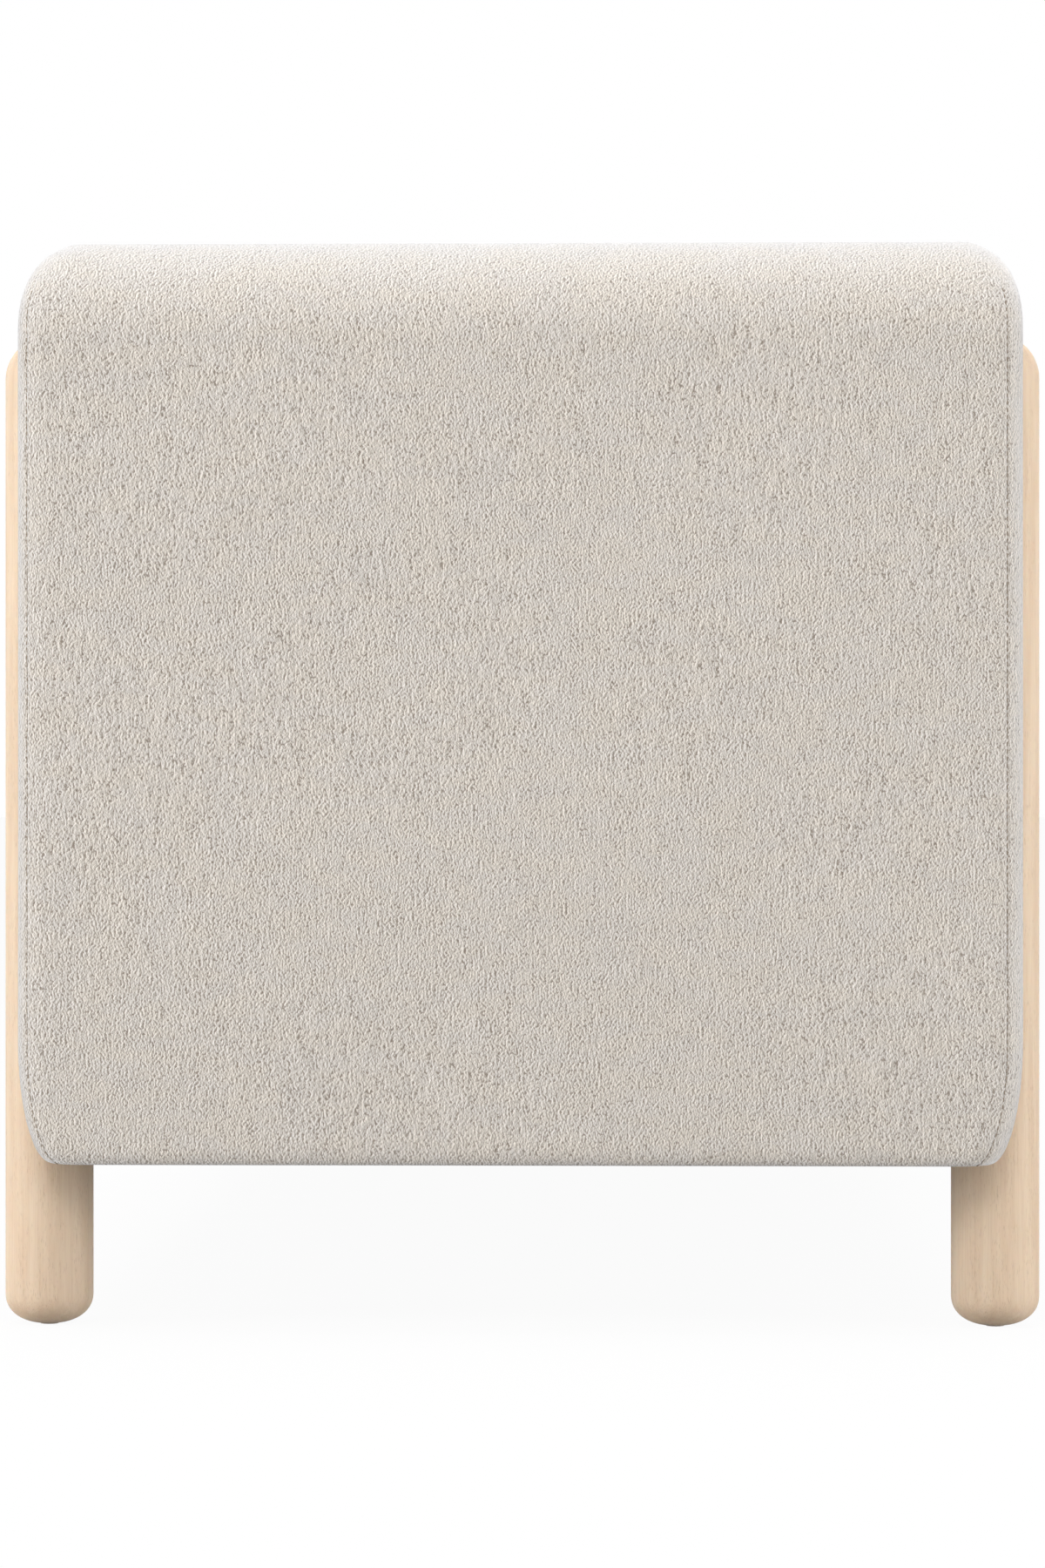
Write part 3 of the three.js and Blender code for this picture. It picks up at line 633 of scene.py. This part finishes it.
ARM_LOW, ARM_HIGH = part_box("arm_cover_right")
END_PUFF = 0.7 * MM
ARM = SimpleNamespace(
    length=ARM_HIGH.y - ARM_LOW.y + 2 * END_PUFF,
    thickness=ARM_HIGH.x - ARM_LOW.x,
    top=ARM_HIGH.z,
    bottom=ARM_LOW.z,
    corner_radius=26 * MM,
    top_corner=(43 * MM, 68 * MM, 2.1),
    bottom_corner=(26 * MM, 94 * MM, 2),
    hem_round=(7 * MM, 14 * MM, 2),
    hem_width=28 * MM,
    row=9 * MM,
    close_levels=list(post_high.z + np.arange(-27, 11, 3) * MM),  # round the posts' tops
    seams=(radians(29.5), radians(42)),  # at the rear and at the front
    seam_depth=1.3 * MM,
    side_shares=np.linspace(-1, 1, 80),
    end_shares=np.linspace(1, -1, 46)[1:-1],
)
ARM_WAVER, ARM_WAVER_LENGTH = 1.2 * MM, 240 * MM
LIP_WIDTH, LIP_DEPTH = 8 * MM, 7 * MM
POST_SINK = 8 * MM  # the most that the fabric is drawn in under a post
POST_GAP = 0.4 * MM


def round_posts(points):
    """Draws an arm's surface in where it meets its posts. The points are (along, across, height)."""
    dome_start = post_high.z - POST_RADIUS
    for end, end_name in ((-1, "front"), (1, "rear")):
        beside_post = points[:, 0] - post_foot(end_name, "right")[1]
        above = np.maximum(points[:, 2] - dome_start, 0)
        distance = np.sqrt(beside_post ** 2 + points[:, 1] ** 2 + above ** 2) - POST_RADIUS
        share = np.clip(1 - distance / LIP_WIDTH, 0, 1)
        depth = LIP_DEPTH * (1 - np.sqrt(1 - share ** 2)) + np.clip(-distance, 0, POST_SINK)
        points[:, 0] -= end * np.where(points[:, 0] * end > 0, depth, 0)
    return points


def cut_round_posts(made, side_name):
    for end_name in ("front", "rear"):
        cutter = lathe("cutter", post_profile(POST_GAP, steps=12), 72, BOUCLE)
        cutter.location = post_foot(end_name, side_name)
        cut = made.modifiers.new("groove", "BOOLEAN")
        cut.operation = "DIFFERENCE"
        cut.solver = "EXACT"
        cut.object = cutter
        applied(made)
        bpy.data.objects.remove(cutter)


def add_arms():
    for side_name, side in SIDES:
        low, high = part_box(f"arm_cover_{side_name}")
        middle = (low.x + high.x) / 2

        def place(points, side=side, middle=middle):
            points = round_posts(points)
            spot = np.stack([middle + side * points[:, 1], points[:, 0], points[:, 2]], axis=1)
            spot[:, 0] += ARM_WAVER * waver(points, ARM_WAVER_LENGTH, 3) * np.sign(points[:, 1]) * side
            return spot

        arm = slab(f"arm_upholstery_{side_name}", ARM, place, BOUCLE)
        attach(slab_stitches(f"arm_seam_stitches_{side_name}", arm, ARM), "sofa_frame")
        cut_round_posts(arm, side_name)
        arm.data.set_sharp_from_angle(angle=radians(60))
        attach(arm, "sofa_frame")
        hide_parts(f"arm_cover_{side_name}")


# ---- Back ----

BACK_LOW, BACK_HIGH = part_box("back_cover")
NEAR_SEAM = np.array([0.0, 1.5, 3, 5, 8, 12]) * MM / ((BACK_HIGH.x - BACK_LOW.x) / 2)
BACK_HALF = np.concatenate([NEAR_SEAM, np.linspace(0.03, 1, 75)])  # shares of the half length
BACK = SimpleNamespace(
    length=BACK_HIGH.x - BACK_LOW.x,
    thickness=BACK_HIGH.y - BACK_LOW.y,
    top=BACK_HIGH.z,
    bottom=BACK_LOW.z,
    corner_radius=12 * MM,
    top_corner=(10 * MM, 14 * MM, 2),
    bottom_corner=(2 * MM, 10 * MM, 2),
    hem_round=(8 * MM, 16 * MM, 2),
    hem_width=20 * MM,
    row=11 * MM,
    close_levels=[],
    seams=(radians(45), radians(45)),
    seam_depth=1.6 * MM,
    side_shares=np.concatenate([-BACK_HALF[:0:-1], BACK_HALF]),
    end_shares=np.linspace(1, -1, 12)[1:-1],
)
BACK_SEAM_DEPTH = 1.9 * MM
BACK_SEAM_SHAPE = (1.6 * MM, 0.5 / 1.9, 7 * MM, 5 * MM)
BACK_WAVER, BACK_WAVER_LENGTH = 1 * MM, 300 * MM


def place_back(points):
    """Sews in the seam in the middle and brings the back's points to their place."""
    inward = BACK_SEAM_DEPTH * crease(np.abs(points[:, 0]), BACK_SEAM_SHAPE)
    roll = BACK.thickness / 2
    over = np.clip((points[:, 2] - (BACK.top - roll)) / roll, 0, 1)
    points[:, 1] -= inward * np.sign(points[:, 1]) * np.sqrt(1 - over ** 2)
    points[:, 2] -= inward * over
    points[:, 1] += BACK_WAVER * waver(points, BACK_WAVER_LENGTH, 5)
    middle = (BACK_LOW + BACK_HIGH) / 2
    return points + (middle.x, middle.y, 0)


def add_back():
    back = slab("back_upholstery", BACK, place_back, BOUCLE)
    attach(back, "sofa_frame")
    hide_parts("back_cover")


# ---- Cushions ----

CUSHION_MESH = 15 * MM
HALF_ARC = 0.8  # half a rounded edge's length, as a share of its radius
CLOTH_FRAMES = 20
CLOTH_PRESSURE = 4
BASE_CLEARANCE = 0.1 * MM
FOAM_DEPTH = 7 * MM  # how far inside the cover the foam lies
SEAT = SimpleNamespace(
    slack=5 * MM,  # how much smaller than its room the cover is before it is blown up
    rounds=(36 * MM, 36 * MM, 26 * MM),
    crown=12 * MM,
    crown_power=4,
    held_base=24 * MM,
    held_rear=30 * MM,
    swell=24 * MM,  # the most that a point moves when the cover is blown up
    fill=0.75,
)
BACK_CUSHION = SimpleNamespace(
    slack=6 * MM,
    rounds=(46 * MM, 46 * MM, 34 * MM),
    crown=20 * MM,
    crown_power=3,
    held_base=8 * MM,
    held_rear=30 * MM,
    swell=28 * MM,
    fill=0.7,
)
SEAT_DIP = (10 * MM, 90 * MM, 30 * MM)  # start, run and rise of its top in front of a back cushion
BACK_CUSHION_DEPTH = 92 * MM


def block_axis(half, radius, spacing):
    """Places along one axis of a block: even ones on its flat, then those on its rounded edges."""
    flat = half - radius
    on_flat = np.linspace(-flat, flat, max(3, round(2 * flat / spacing) + 1))
    turn = np.linspace(0, radius, max(2, round(radius * HALF_ARC / spacing) + 1))[1:]
    return np.concatenate([(-flat - turn)[::-1], on_flat, flat + turn])


def rounded_block(name, size, rounds, spacing, material):
    """A block with rounded edges, of near-square faces. The edges round its top and bottom are seams."""
    half = np.array(size) / 2
    rounds = np.array(rounds)
    axes = [block_axis(h, r, spacing) for h, r in zip(half, rounds)]
    last = [len(a) - 1 for a in axes]
    index, points, faces = {}, [], []

    def corner(spot):
        if spot not in index:
            index[spot] = len(points)
            at = np.array([axes[n][spot[n]] for n in range(3)])
            inner = np.clip(at, -(half - rounds), half - rounds)
            bend = np.tan((at - inner) / rounds * pi / 4)
            points.append(inner + rounds * bend / np.linalg.norm(bend))
        return index[spot]

    for axis in range(3):
        first, second = [n for n in range(3) if n != axis]
        for end, i, j in product((0, last[axis]), range(last[first]), range(last[second])):
            spots = []
            for di, dj in ((0, 0), (1, 0), (1, 1), (0, 1)):
                spot = [0, 0, 0]
                spot[axis], spot[first], spot[second] = end, i + di, j + dj
                spots.append(corner(tuple(spot)))
            faces.append(spots)
    made = closed_mesh(name, points, faces, material)
    mark_seams(made.data, index, last)
    return made


def mark_seams(mesh, index, last):
    """Marks the edges round a block's top and bottom panels. index gives each (i, j, k)'s vertex."""
    rim = set()
    for (i, j, k), vertex in index.items():
        if k in (0, last[2]) and (i in (0, last[0]) or j in (0, last[1])):
            rim.add(vertex)
    for edge in mesh.edges:
        edge.use_seam = edge.vertices[0] in rim and edge.vertices[1] in rim


def crowned_block(name, size, form):
    """A cushion's cover before it is blown up, with its points. Its upper panel rises to a crown."""
    cushion = rounded_block(name, size, form.rounds, CUSHION_MESH, BOUCLE)
    points = positions(cushion)
    share = np.abs(points[:, :2] / (np.array(size[:2]) / 2)) ** form.crown_power
    edge = np.clip(share.sum(axis=1) ** (1 / form.crown_power), 0, 1)
    upper = points[:, 2] > size[2] / 2 - form.rounds[2] - 1 * MM
    points[:, 2] += np.where(upper, form.crown * np.cos(edge * pi / 2), 0)
    return cushion, points


def inflate(made, low, high, form):
    """Blows a cushion's cover up with the cloth solver. Its base and its rear are held."""
    start = positions(made)
    held = (start[:, 2] < low.z + form.held_base) | (start[:, 1] > high.y - form.held_rear)
    pins = made.vertex_groups.new(name="held")
    pins.add(np.flatnonzero(held).tolist(), 1, "REPLACE")
    cloth = made.modifiers.new("cloth", "CLOTH")
    cloth.settings.quality = 6
    cloth.settings.mass = 0.3
    cloth.settings.use_pressure = True
    cloth.settings.uniform_pressure_force = CLOTH_PRESSURE
    cloth.settings.vertex_group_mass = "held"
    cloth.settings.effector_weights.gravity = 0
    cloth.point_cache.frame_start = 1
    cloth.point_cache.frame_end = CLOTH_FRAMES
    for step in range(1, CLOTH_FRAMES + 1):
        scene.frame_set(step)
    evaluated = made.evaluated_get(bpy.context.evaluated_depsgraph_get())
    moved = positions(evaluated) - start
    length = np.linalg.norm(moved, axis=1)
    moved *= np.minimum(1, form.swell / np.maximum(length, 1e-9))[:, None]
    made.modifiers.clear()
    made.vertex_groups.clear()
    scene.frame_set(1)
    set_positions(made, start + moved)


def seam_points(mesh, pitch):
    """Points at about that pitch along a mesh's seams."""
    points = []
    for edge in mesh.edges:
        if edge.use_seam:
            first, last = (mesh.vertices[v].co for v in edge.vertices)
            steps = max(1, round((last - first).length / pitch))
            points += [first.lerp(last, i / steps) for i in range(steps)]
    return points


def finer_at_seams(made, width):
    """Bevels the seams to that width and subdivides the whole mesh once."""
    edit = bmesh.new()
    edit.from_mesh(made.data)
    bevel = {"offset": width, "segments": 6, "profile": 0.5, "affect": "EDGES", "clamp_overlap": True}
    bmesh.ops.bevel(edit, geom=[e for e in edit.edges if e.seam], **bevel)
    edit.to_mesh(made.data)
    edit.free()
    finer = made.modifiers.new("finer", "SUBSURF")
    finer.levels = finer.render_levels = 1
    applied(made)


def sew(made, depth, width):
    """Draws a cushion's seams in as narrow creases with a swell on both sides."""
    seams = seam_points(made.data, 1.5 * MM)
    finer_at_seams(made, 4 * width)
    mesh = made.data
    surface = BVHTree.FromPolygons([v.co for v in mesh.vertices], [p.vertices for p in mesh.polygons])
    line = KDTree(len(seams))
    for i, point in enumerate(seams):
        line.insert(surface.find_nearest(point)[0], i)
    line.balance()
    stray = np.array([line.find(v.co)[2] for v in mesh.vertices])
    inward = depth * crease(stray, (width, 0.35, 4 * width, 2.5 * width))
    set_positions(made, positions(made) - vertex_normals(made) * inward[:, None])


def soft_limit(values, limit, softness):
    """Values that flatten out just under a limit."""
    over = values - (limit - softness)
    return np.where(over > 0, limit - softness + softness * np.tanh(over / softness), values)


def fit_between(points, axis, low, high):
    """Keeps a cushion's points softly between the two sides of its room across an axis."""
    centre, reach = (low[axis] + high[axis]) / 2, (high[axis] - low[axis]) / 2
    beside_centre = points[:, axis] - centre
    limited = soft_limit(np.abs(beside_centre), reach - 0.2 * MM, 3 * MM)
    points[:, axis] = centre + np.sign(beside_centre) * limited


def add_seat_cushions():
    low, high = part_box("seat_cushion_cover_right")
    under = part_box("back_cushion_cover_right")[0]
    slack = SEAT.slack
    size = (high.x - low.x - slack, high.y - low.y - slack / 2, under.z - low.z - slack)
    cushion, points = crowned_block("seat_cushion_right", size, SEAT)
    points += ((low.x + high.x) / 2, (low.y + high.y) / 2, low.z + size[2] / 2)
    set_positions(cushion, points)

    def fit(points):
        for axis in (0, 1):
            fit_between(points, axis, low, high)
        start, run, rise = SEAT_DIP
        lifted = np.clip((under.y - start - points[:, 1]) / run, 0, 1)
        points[:, 2] = soft_limit(points[:, 2], under.z - 0.4 * MM + rise * lifted, 4 * MM)
        points[:, 2] = np.maximum(points[:, 2], low.z + BASE_CLEARANCE)
        return points

    finish_cushions(cushion, low, high, SEAT, fit)


def add_back_cushions():
    low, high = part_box("back_cushion_cover_right")
    slack = BACK_CUSHION.slack
    size = (high.x - low.x - slack, high.z - low.z - slack, BACK_CUSHION_DEPTH)
    cushion, points = crowned_block("back_cushion_right", size, BACK_CUSHION)
    rear = high.y - size[2] / 2 - 0.3 * MM
    standing = np.stack([points[:, 0], -points[:, 2], points[:, 1]], axis=1)
    standing += ((low.x + high.x) / 2, rear, (low.z + high.z) / 2)
    set_positions(cushion, standing)
    outward(cushion)

    def fit(points):
        fit_between(points, 0, low, high)
        points[:, 1] = np.minimum(points[:, 1], high.y - BASE_CLEARANCE)
        points[:, 2] = np.maximum(points[:, 2], low.z + BASE_CLEARANCE)
        return points

    finish_cushions(cushion, low, high, BACK_CUSHION, fit)


def finish_cushions(cushion, low, high, form, fit):
    """Blows a cushion up, fits it into its room, fills it with foam and sews its seams."""
    inflate(cushion, low, high, form)
    set_positions(cushion, fit(positions(cushion)))
    core = foam_core(cushion)
    sew(cushion, depth=3.5 * MM, width=1.8 * MM)
    set_positions(cushion, fit(positions(cushion)))
    body = cushion.name.removesuffix("_right")
    for right, part, slot in ((cushion, "cover", "boucle"), (core, "core", "foam")):
        for made, side_name in ((mirrored(right), "left"), (right, "right")):
            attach(made, f"{body}_{side_name}")
            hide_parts(f"{body}_{part}_{side_name}")


def copied(made, name):
    twin = made.copy()
    twin.data = made.data.copy()
    twin.name = name
    scene.collection.objects.link(twin)
    return twin


def foam_core(cushion):
    core = copied(cushion, cushion.name.replace("cushion", "foam"))
    core.data.materials[0] = FOAM
    set_positions(core, positions(core) - FOAM_DEPTH * vertex_normals(core))
    return core


def mirrored(right):
    """The left one of a pair, as a mirror image of the right one."""
    left = copied(right, right.name.replace("right", "left"))
    set_positions(left, positions(left) * (-1, 1, 1))
    outward(left)
    return left


# ---- Deck ----

DECK_ROLL = 22 * MM
DECK_THICKNESS = 0.98 * 3 * MM  # a little less than its solid's, so that it lies clear of the pad
DECK_SEAM = 95 * MM  # behind the apron
DECK_CREASE = 2 * MM
APRON_PUFF, APRON_WAVER = 2.5 * MM, 1.5 * MM
APRON_FADE = (50 * MM, 14 * MM)  # the heights over which the puff fades at the top and at the edge


def deck_outline(low, high, seam):
    """The deck's outer side as (y, z) points, from the apron's lower edge over its roll to the rear."""
    outer = [(low.y, z) for z in np.linspace(low.z, high.z - DECK_ROLL, 14)]
    for a in np.linspace(0, pi / 2, 9)[1:]:
        outer.append((low.y + DECK_ROLL * (1 - cos(a)), high.z - DECK_ROLL * (1 - sin(a))))
    before = np.linspace(low.y + DECK_ROLL, seam - 9 * MM, 7)[1:]
    at_seam = seam + np.array([-5, -2.5, 0, 2.5, 5]) * MM
    after = np.linspace(seam + 9 * MM, high.y, 34)
    outer += [(y, high.z) for y in (*before, *at_seam, *after)]
    return np.array(outer)


def deck_relief(outer, x, low, high, seam):
    """How far the fabric stands out from its outline at one station: a puffed apron and a seam."""
    sample = np.stack([np.full(len(outer), x), outer[:, 0], outer[:, 1]], axis=1)
    top_fade, low_fade = APRON_FADE
    under_top = np.clip((high.z - outer[:, 1]) / top_fade, 0, 1)
    over_edge = np.clip((outer[:, 1] - low.z) / low_fade, 0, 1)
    puff = (APRON_PUFF + APRON_WAVER * waver(sample, 0.22, 7)) * (under_top * over_edge)
    return puff - DECK_CREASE * np.exp(-(((outer[:, 0] - seam) / DECK_CREASE) ** 2))


def add_deck():
    """The fabric over the seat box: a front apron that rolls over into the deck, as one closed skin."""
    low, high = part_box("deck_cover")
    seam = low.y + DECK_SEAM
    outer = deck_outline(low, high, seam)
    along = np.gradient(outer, axis=0)
    along /= np.linalg.norm(along, axis=1)[:, None]
    normal = np.stack([-along[:, 1], along[:, 0]], axis=1)
    inner = outer - normal * DECK_THICKNESS
    stations = []
    for x in np.linspace(low.x, high.x, 106):
        puffed = outer + normal * deck_relief(outer, x, low, high, seam)[:, None]
        stations.append([np.insert(side, 0, x, axis=1) for side in (puffed, inner)])
    made = skin("deck_upholstery", stations, BOUCLE)
    made.data.set_sharp_from_angle(angle=radians(60))
    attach(made, "sofa_frame")
    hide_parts("deck_cover")


# ---- Undersides ----

CLOTH_THICKNESS = 0.7 * MM
CLOTH_MESH = 14 * MM
CLOTH_SAG = 5 * MM
STAPLE_PITCH = 55 * MM
STAPLE_INSET = 6 * MM


def taut_cloth(name, low, high, under, sag):
    """A thin closed sheet over a rectangle, its upper side at the height under where sag is 0."""
    spans = [(a, b, max(2, round((b - a) / CLOTH_MESH) + 1)) for a, b in zip(low, high)]
    columns, rows = (np.linspace(*span) for span in spans)
    stations = []
    for x in columns:
        top = [(x, y, under - sag(x, y)) for y in rows]
        stations.append((top, [(x, y, z - CLOTH_THICKNESS) for x, y, z in top]))
    return skin(name, stations, CAMBRIC)


def staple_rows(name, rows, level):
    """Staples along straight rows, each from one (x, y) to another."""
    spots, headings = [], []
    for start, end in rows:
        start, end = np.array([*start, level]), np.array([*end, level])
        length = np.linalg.norm(end - start)
        count = max(2, round(length / STAPLE_PITCH))
        for i in range(count):
            spots.append(start + (end - start) * (i + 0.5) / count)
            headings.append((end - start) / length)
    return spindles(name, spots, headings, 11 * MM, 0.5 * MM, STEEL)


def add_dust_cover(name, low, high, under, rests_on, sag=lambda x, y: 0, middle_rows=()):
    """A black cloth stapled under the frame. low and high are its (x, y) corners."""
    cloth = taut_cloth(name, low, high, under, sag)
    a, b = np.array(low) + STAPLE_INSET, np.array(high) - STAPLE_INSET
    rows = [(a, (b[0], a[1])), ((b[0], a[1]), b), (b, (a[0], b[1])), ((a[0], b[1]), a), *middle_rows]
    staples = staple_rows(f"{name}_staples", rows, under - CLOTH_THICKNESS)
    for made in (cloth, staples):
        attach(made, "sofa_frame")
    return cloth


def inset_corners(low, high, ends, sides):
    return (low.x + ends, low.y + sides), (high.x - ends, high.y - sides)


def add_dust_covers():
    for side_name, _ in SIDES:
        low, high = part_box(f"arm_cover_{side_name}")
        inset = ARM.hem_round[0] + 14 * MM
        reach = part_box(f"rear_post_{side_name}")[0].y - 3 * MM
        corners = (low.x + inset, -reach), (high.x - inset, reach)
        add_dust_cover(f"arm_dust_cover_{side_name}", *corners, low.z, [f"arm_upholstery_{side_name}"])
    corners = inset_corners(BACK_LOW, BACK_HIGH, ends=24 * MM, sides=18 * MM)
    add_dust_cover("back_dust_cover", *corners, BACK_LOW.z, ["back_upholstery"])

    low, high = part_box("dust_cover")
    bay, depth = high.x, high.y - low.y

    def sag(x, y):
        return CLOTH_SAG * (sin(pi * abs(x) / bay) * sin(pi * (y - low.y) / depth)) ** 2

    corners = inset_corners(low, high, ends=0.5 * MM, sides=0.3 * MM)
    centre = ((0, low.y + 20 * MM), (0, high.y - 20 * MM))
    rails = ["seat_front_rail", "seat_rear_rail", "seat_side_rail_left", "seat_side_rail_right"]
    cloth = add_dust_cover("seat_dust_cover", *corners, high.z, rails, sag, [centre])
    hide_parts("dust_cover")


# ---- Zips ----

ZIP_LENGTH = 560 * MM
TAPE_WIDTH = 26 * MM
TAPE_BEYOND = 15 * MM
TAPE_TOP = 0.25 * MM
TOOTH_PITCH = 2 * MM
TOOTH_SHIFT = 0.7 * MM  # to one side and the other in turn
BACK_ZIP_INSET = 48 * MM  # from the cushion's rear


def slab_between(name, low, high, edge, material):
    """A box with narrow rounded edges between two corners."""
    low, high = np.array(low), np.array(high)
    size = high - low
    made = rounded_block(name, size, np.minimum(edge, size * 0.45), max(size) / 2, material)
    set_positions(made, positions(made) + (low + high) / 2)
    return made


def joined(name, parts):
    """One object of several."""
    edit = bmesh.new()
    for part in parts:
        edit.from_mesh(part.data)
    made = parts[0]
    edit.to_mesh(made.data)
    edit.free()
    for part in parts[1:]:
        bpy.data.objects.remove(part)
    made.name = name
    return made


def zip_tape(name):
    reach, wide = ZIP_LENGTH / 2 + TAPE_BEYOND, TAPE_WIDTH / 2
    return slab_between(name, (-reach, -wide, -0.4 * MM), (reach, wide, TAPE_TOP), 0.2 * MM, TAPE)


def zip_teeth(name):
    """The coil's closed teeth: short rods across the zip."""
    along = np.arange(-ZIP_LENGTH / 2, ZIP_LENGTH / 2, TOOTH_PITCH)
    shift = np.where(np.arange(len(along)) % 2, TOOTH_SHIFT, -TOOTH_SHIFT)
    spots = np.column_stack([along, shift, 0 * along + 0.3 * MM])
    upright = np.tile((0, 1, 0), (len(along), 1))
    return spindles(name, spots, upright, 3.6 * MM, 0.8 * MM, NYLON)


def zip_stitches(name):
    """The two rows of thread that hold the tapes."""
    reach, level = ZIP_LENGTH / 2 + 12 * MM, TAPE_WIDTH / 2 - 3 * MM
    lines = [np.array([(-reach, v, TAPE_TOP), (reach, v, TAPE_TOP)]) for v in (-level, level)]
    return stitches(name, lines, pitch=4.5 * MM, length=3.2 * MM, radius=0.45 * MM)


def zip_slider(name, along):
    """A slider with its flat pull, at one place along the zip."""
    reach = 4.5 * MM
    plate = slab_between("plate", (-reach, -4 * MM, -2 * MM), (reach, 4 * MM, 0.5 * MM), 1 * MM, STEEL)
    pull_low, pull_high = (reach, -3 * MM, -0.8 * MM), (reach + 18 * MM, 3 * MM, 0.4 * MM)
    slider = joined(name, [plate, slab_between("pull", pull_low, pull_high, 0.5 * MM, STEEL)])
    set_positions(slider, positions(slider) + (along, 0, 0))
    return slider


def into_rear(points):
    return points[:, [0, 2, 1]]


def into_underside(points):
    return points * (1, 1, -1)


def add_zip(name, origin, turned, body, slider_place=None):
    """A coil zip on two tapes, round its origin. turned turns its (along, up, out) points."""
    pieces = [zip_tape(f"{name}_tape"), zip_teeth(f"{name}_teeth"), zip_stitches(f"{name}_stitches")]
    if slider_place is not None:
        pieces.append(zip_slider(f"{name}_slider", slider_place))
    for piece in pieces:
        set_positions(piece, origin + turned(positions(piece)))
        outward(piece)
        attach(piece, body)


def add_zips():
    """The seat cushions' zips are in their rear borders, and the back cushions' in their undersides."""
    for side_name, side in SIDES:
        low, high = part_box(f"seat_cushion_cover_{side_name}")
        slider_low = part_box(f"seat_zip_slider_{side_name}")[0]
        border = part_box(f"back_cushion_cover_{side_name}")[0].z - low.z
        origin = ((low.x + high.x) / 2, slider_low.y, low.z + (border - 2 * MM) / 2)
        add_zip(f"seat_zip_{side_name}", origin, into_rear, f"seat_cushion_{side_name}")
        low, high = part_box(f"back_cushion_cover_{side_name}")
        origin = ((low.x + high.x) / 2, high.y - BACK_ZIP_INSET, low.z + BACK_CUSHION.slack / 2)
        body, closed = f"back_cushion_{side_name}", -side * ZIP_LENGTH / 2
        add_zip(f"back_zip_{side_name}", origin, into_underside, body, closed)


# ---- Inner pieces ----

def finish_cad_nodes():
    """Gives every CAD node the worked-out material of its slot."""
    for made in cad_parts.values():
        for slot in made.material_slots:
            slot.material = CAD_FINISHES[slot.material.name.split(".")[0]]


# ---- Stage ----

WORLD_LIGHT = 0.4
FLOOR_SIZE = 60
FLOOR_WHITE = 0.95
FLOOR_BOUNCE = (0.5, 0.5, 0.5, 1)
FLOOR_SEEN = (0.8, 0.8, 0.8, 1)
WHITE = (1, 1, 1, 1)
LAMPS = (  # name, place, target, size and watts
    ("overhead", (0.4, 0, 3.4), (0.6, 0, 0), (3, 3), 68),
    ("high_front", (4.2, -0.4, 3.3), (0.8, 0, 0.4), (3, 1.6), 60),
    ("high_back", (-4.2, 0.4, 3.3), (-0.8, 0, 0.4), (3, 1.6), 52),
    ("key", (2.4, -4.3, 0.9), (0.8, 0, 0.4), (2.2, 2.2), 134),
    ("fill", (2.4, 4.3, 0.9), (0.8, 0, 0.4), (2.2, 2.2), 110),
)


def light_path(tree):
    """1 for what the camera sees directly, in a mirror or through glass."""
    path = node(tree, "LightPath")
    seen = math_node(tree, "ADD", path.outputs["Is Camera Ray"], path.outputs["Is Glossy Ray"])
    seen = math_node(tree, "ADD", seen, path.outputs["Is Transmission Ray"])
    return math_node(tree, "MINIMUM", seen, 1)


def empty_tree(owner):
    owner.use_nodes = True
    owner.node_tree.nodes.clear()
    return owner.node_tree


def light_world():
    """A world that looks white and lights the sofa more dimly."""
    scene.world = scene.world or bpy.data.worlds.new("studio")
    tree = empty_tree(scene.world)
    lit = node(tree, "Background", {"Color": WHITE, "Strength": WORLD_LIGHT})
    seen = node(tree, "Background", {"Color": WHITE, "Strength": 1})
    both = node(tree, "MixShader", {0: light_path(tree), 1: lit.outputs[0], 2: seen.outputs[0]})
    node(tree, "OutputWorld", {0: both.outputs[0]})


def add_floor():
    """A floor that looks white and keeps the sofa's shadow."""
    material = bpy.data.materials.new("studio_floor")
    tree = empty_tree(material)
    seen = light_path(tree)
    plain = node(tree, "BsdfDiffuse", {"Color": mixed(tree, seen, FLOOR_BOUNCE, FLOOR_SEEN)})
    white = node(tree, "Emission", {"Color": WHITE, "Strength": 1})
    share = math_node(tree, "MULTIPLY", seen, FLOOR_WHITE)
    both = node(tree, "MixShader", {0: share, 1: plain.outputs[0], 2: white.outputs[0]})
    node(tree, "OutputMaterial", {0: both.outputs[0]})
    corners = [(x * FLOOR_SIZE, y * FLOOR_SIZE, 0) for x, y in ((-1, -1), (1, -1), (1, 1), (-1, 1))]
    mesh_object("studio_floor", corners, [(0, 1, 2, 3)], material)


def add_lamp(name, place, target, size, power):
    lamp = bpy.data.lights.new(name, "AREA")
    lamp.shape = "RECTANGLE"
    lamp.size, lamp.size_y = size
    lamp.energy = power
    made = bpy.data.objects.new(name, lamp)
    made.location = place
    made.rotation_euler = (Vector(place) - Vector(target)).to_track_quat("Z", "Y").to_euler()
    scene.collection.objects.link(made)


finish_cad_nodes()
add_posts()
add_arms()
add_back()
add_deck()
add_seat_cushions()
add_back_cushions()
add_zips()
add_dust_covers()
light_world()
add_floor()
for lamp in LAMPS:
    add_lamp(*lamp)
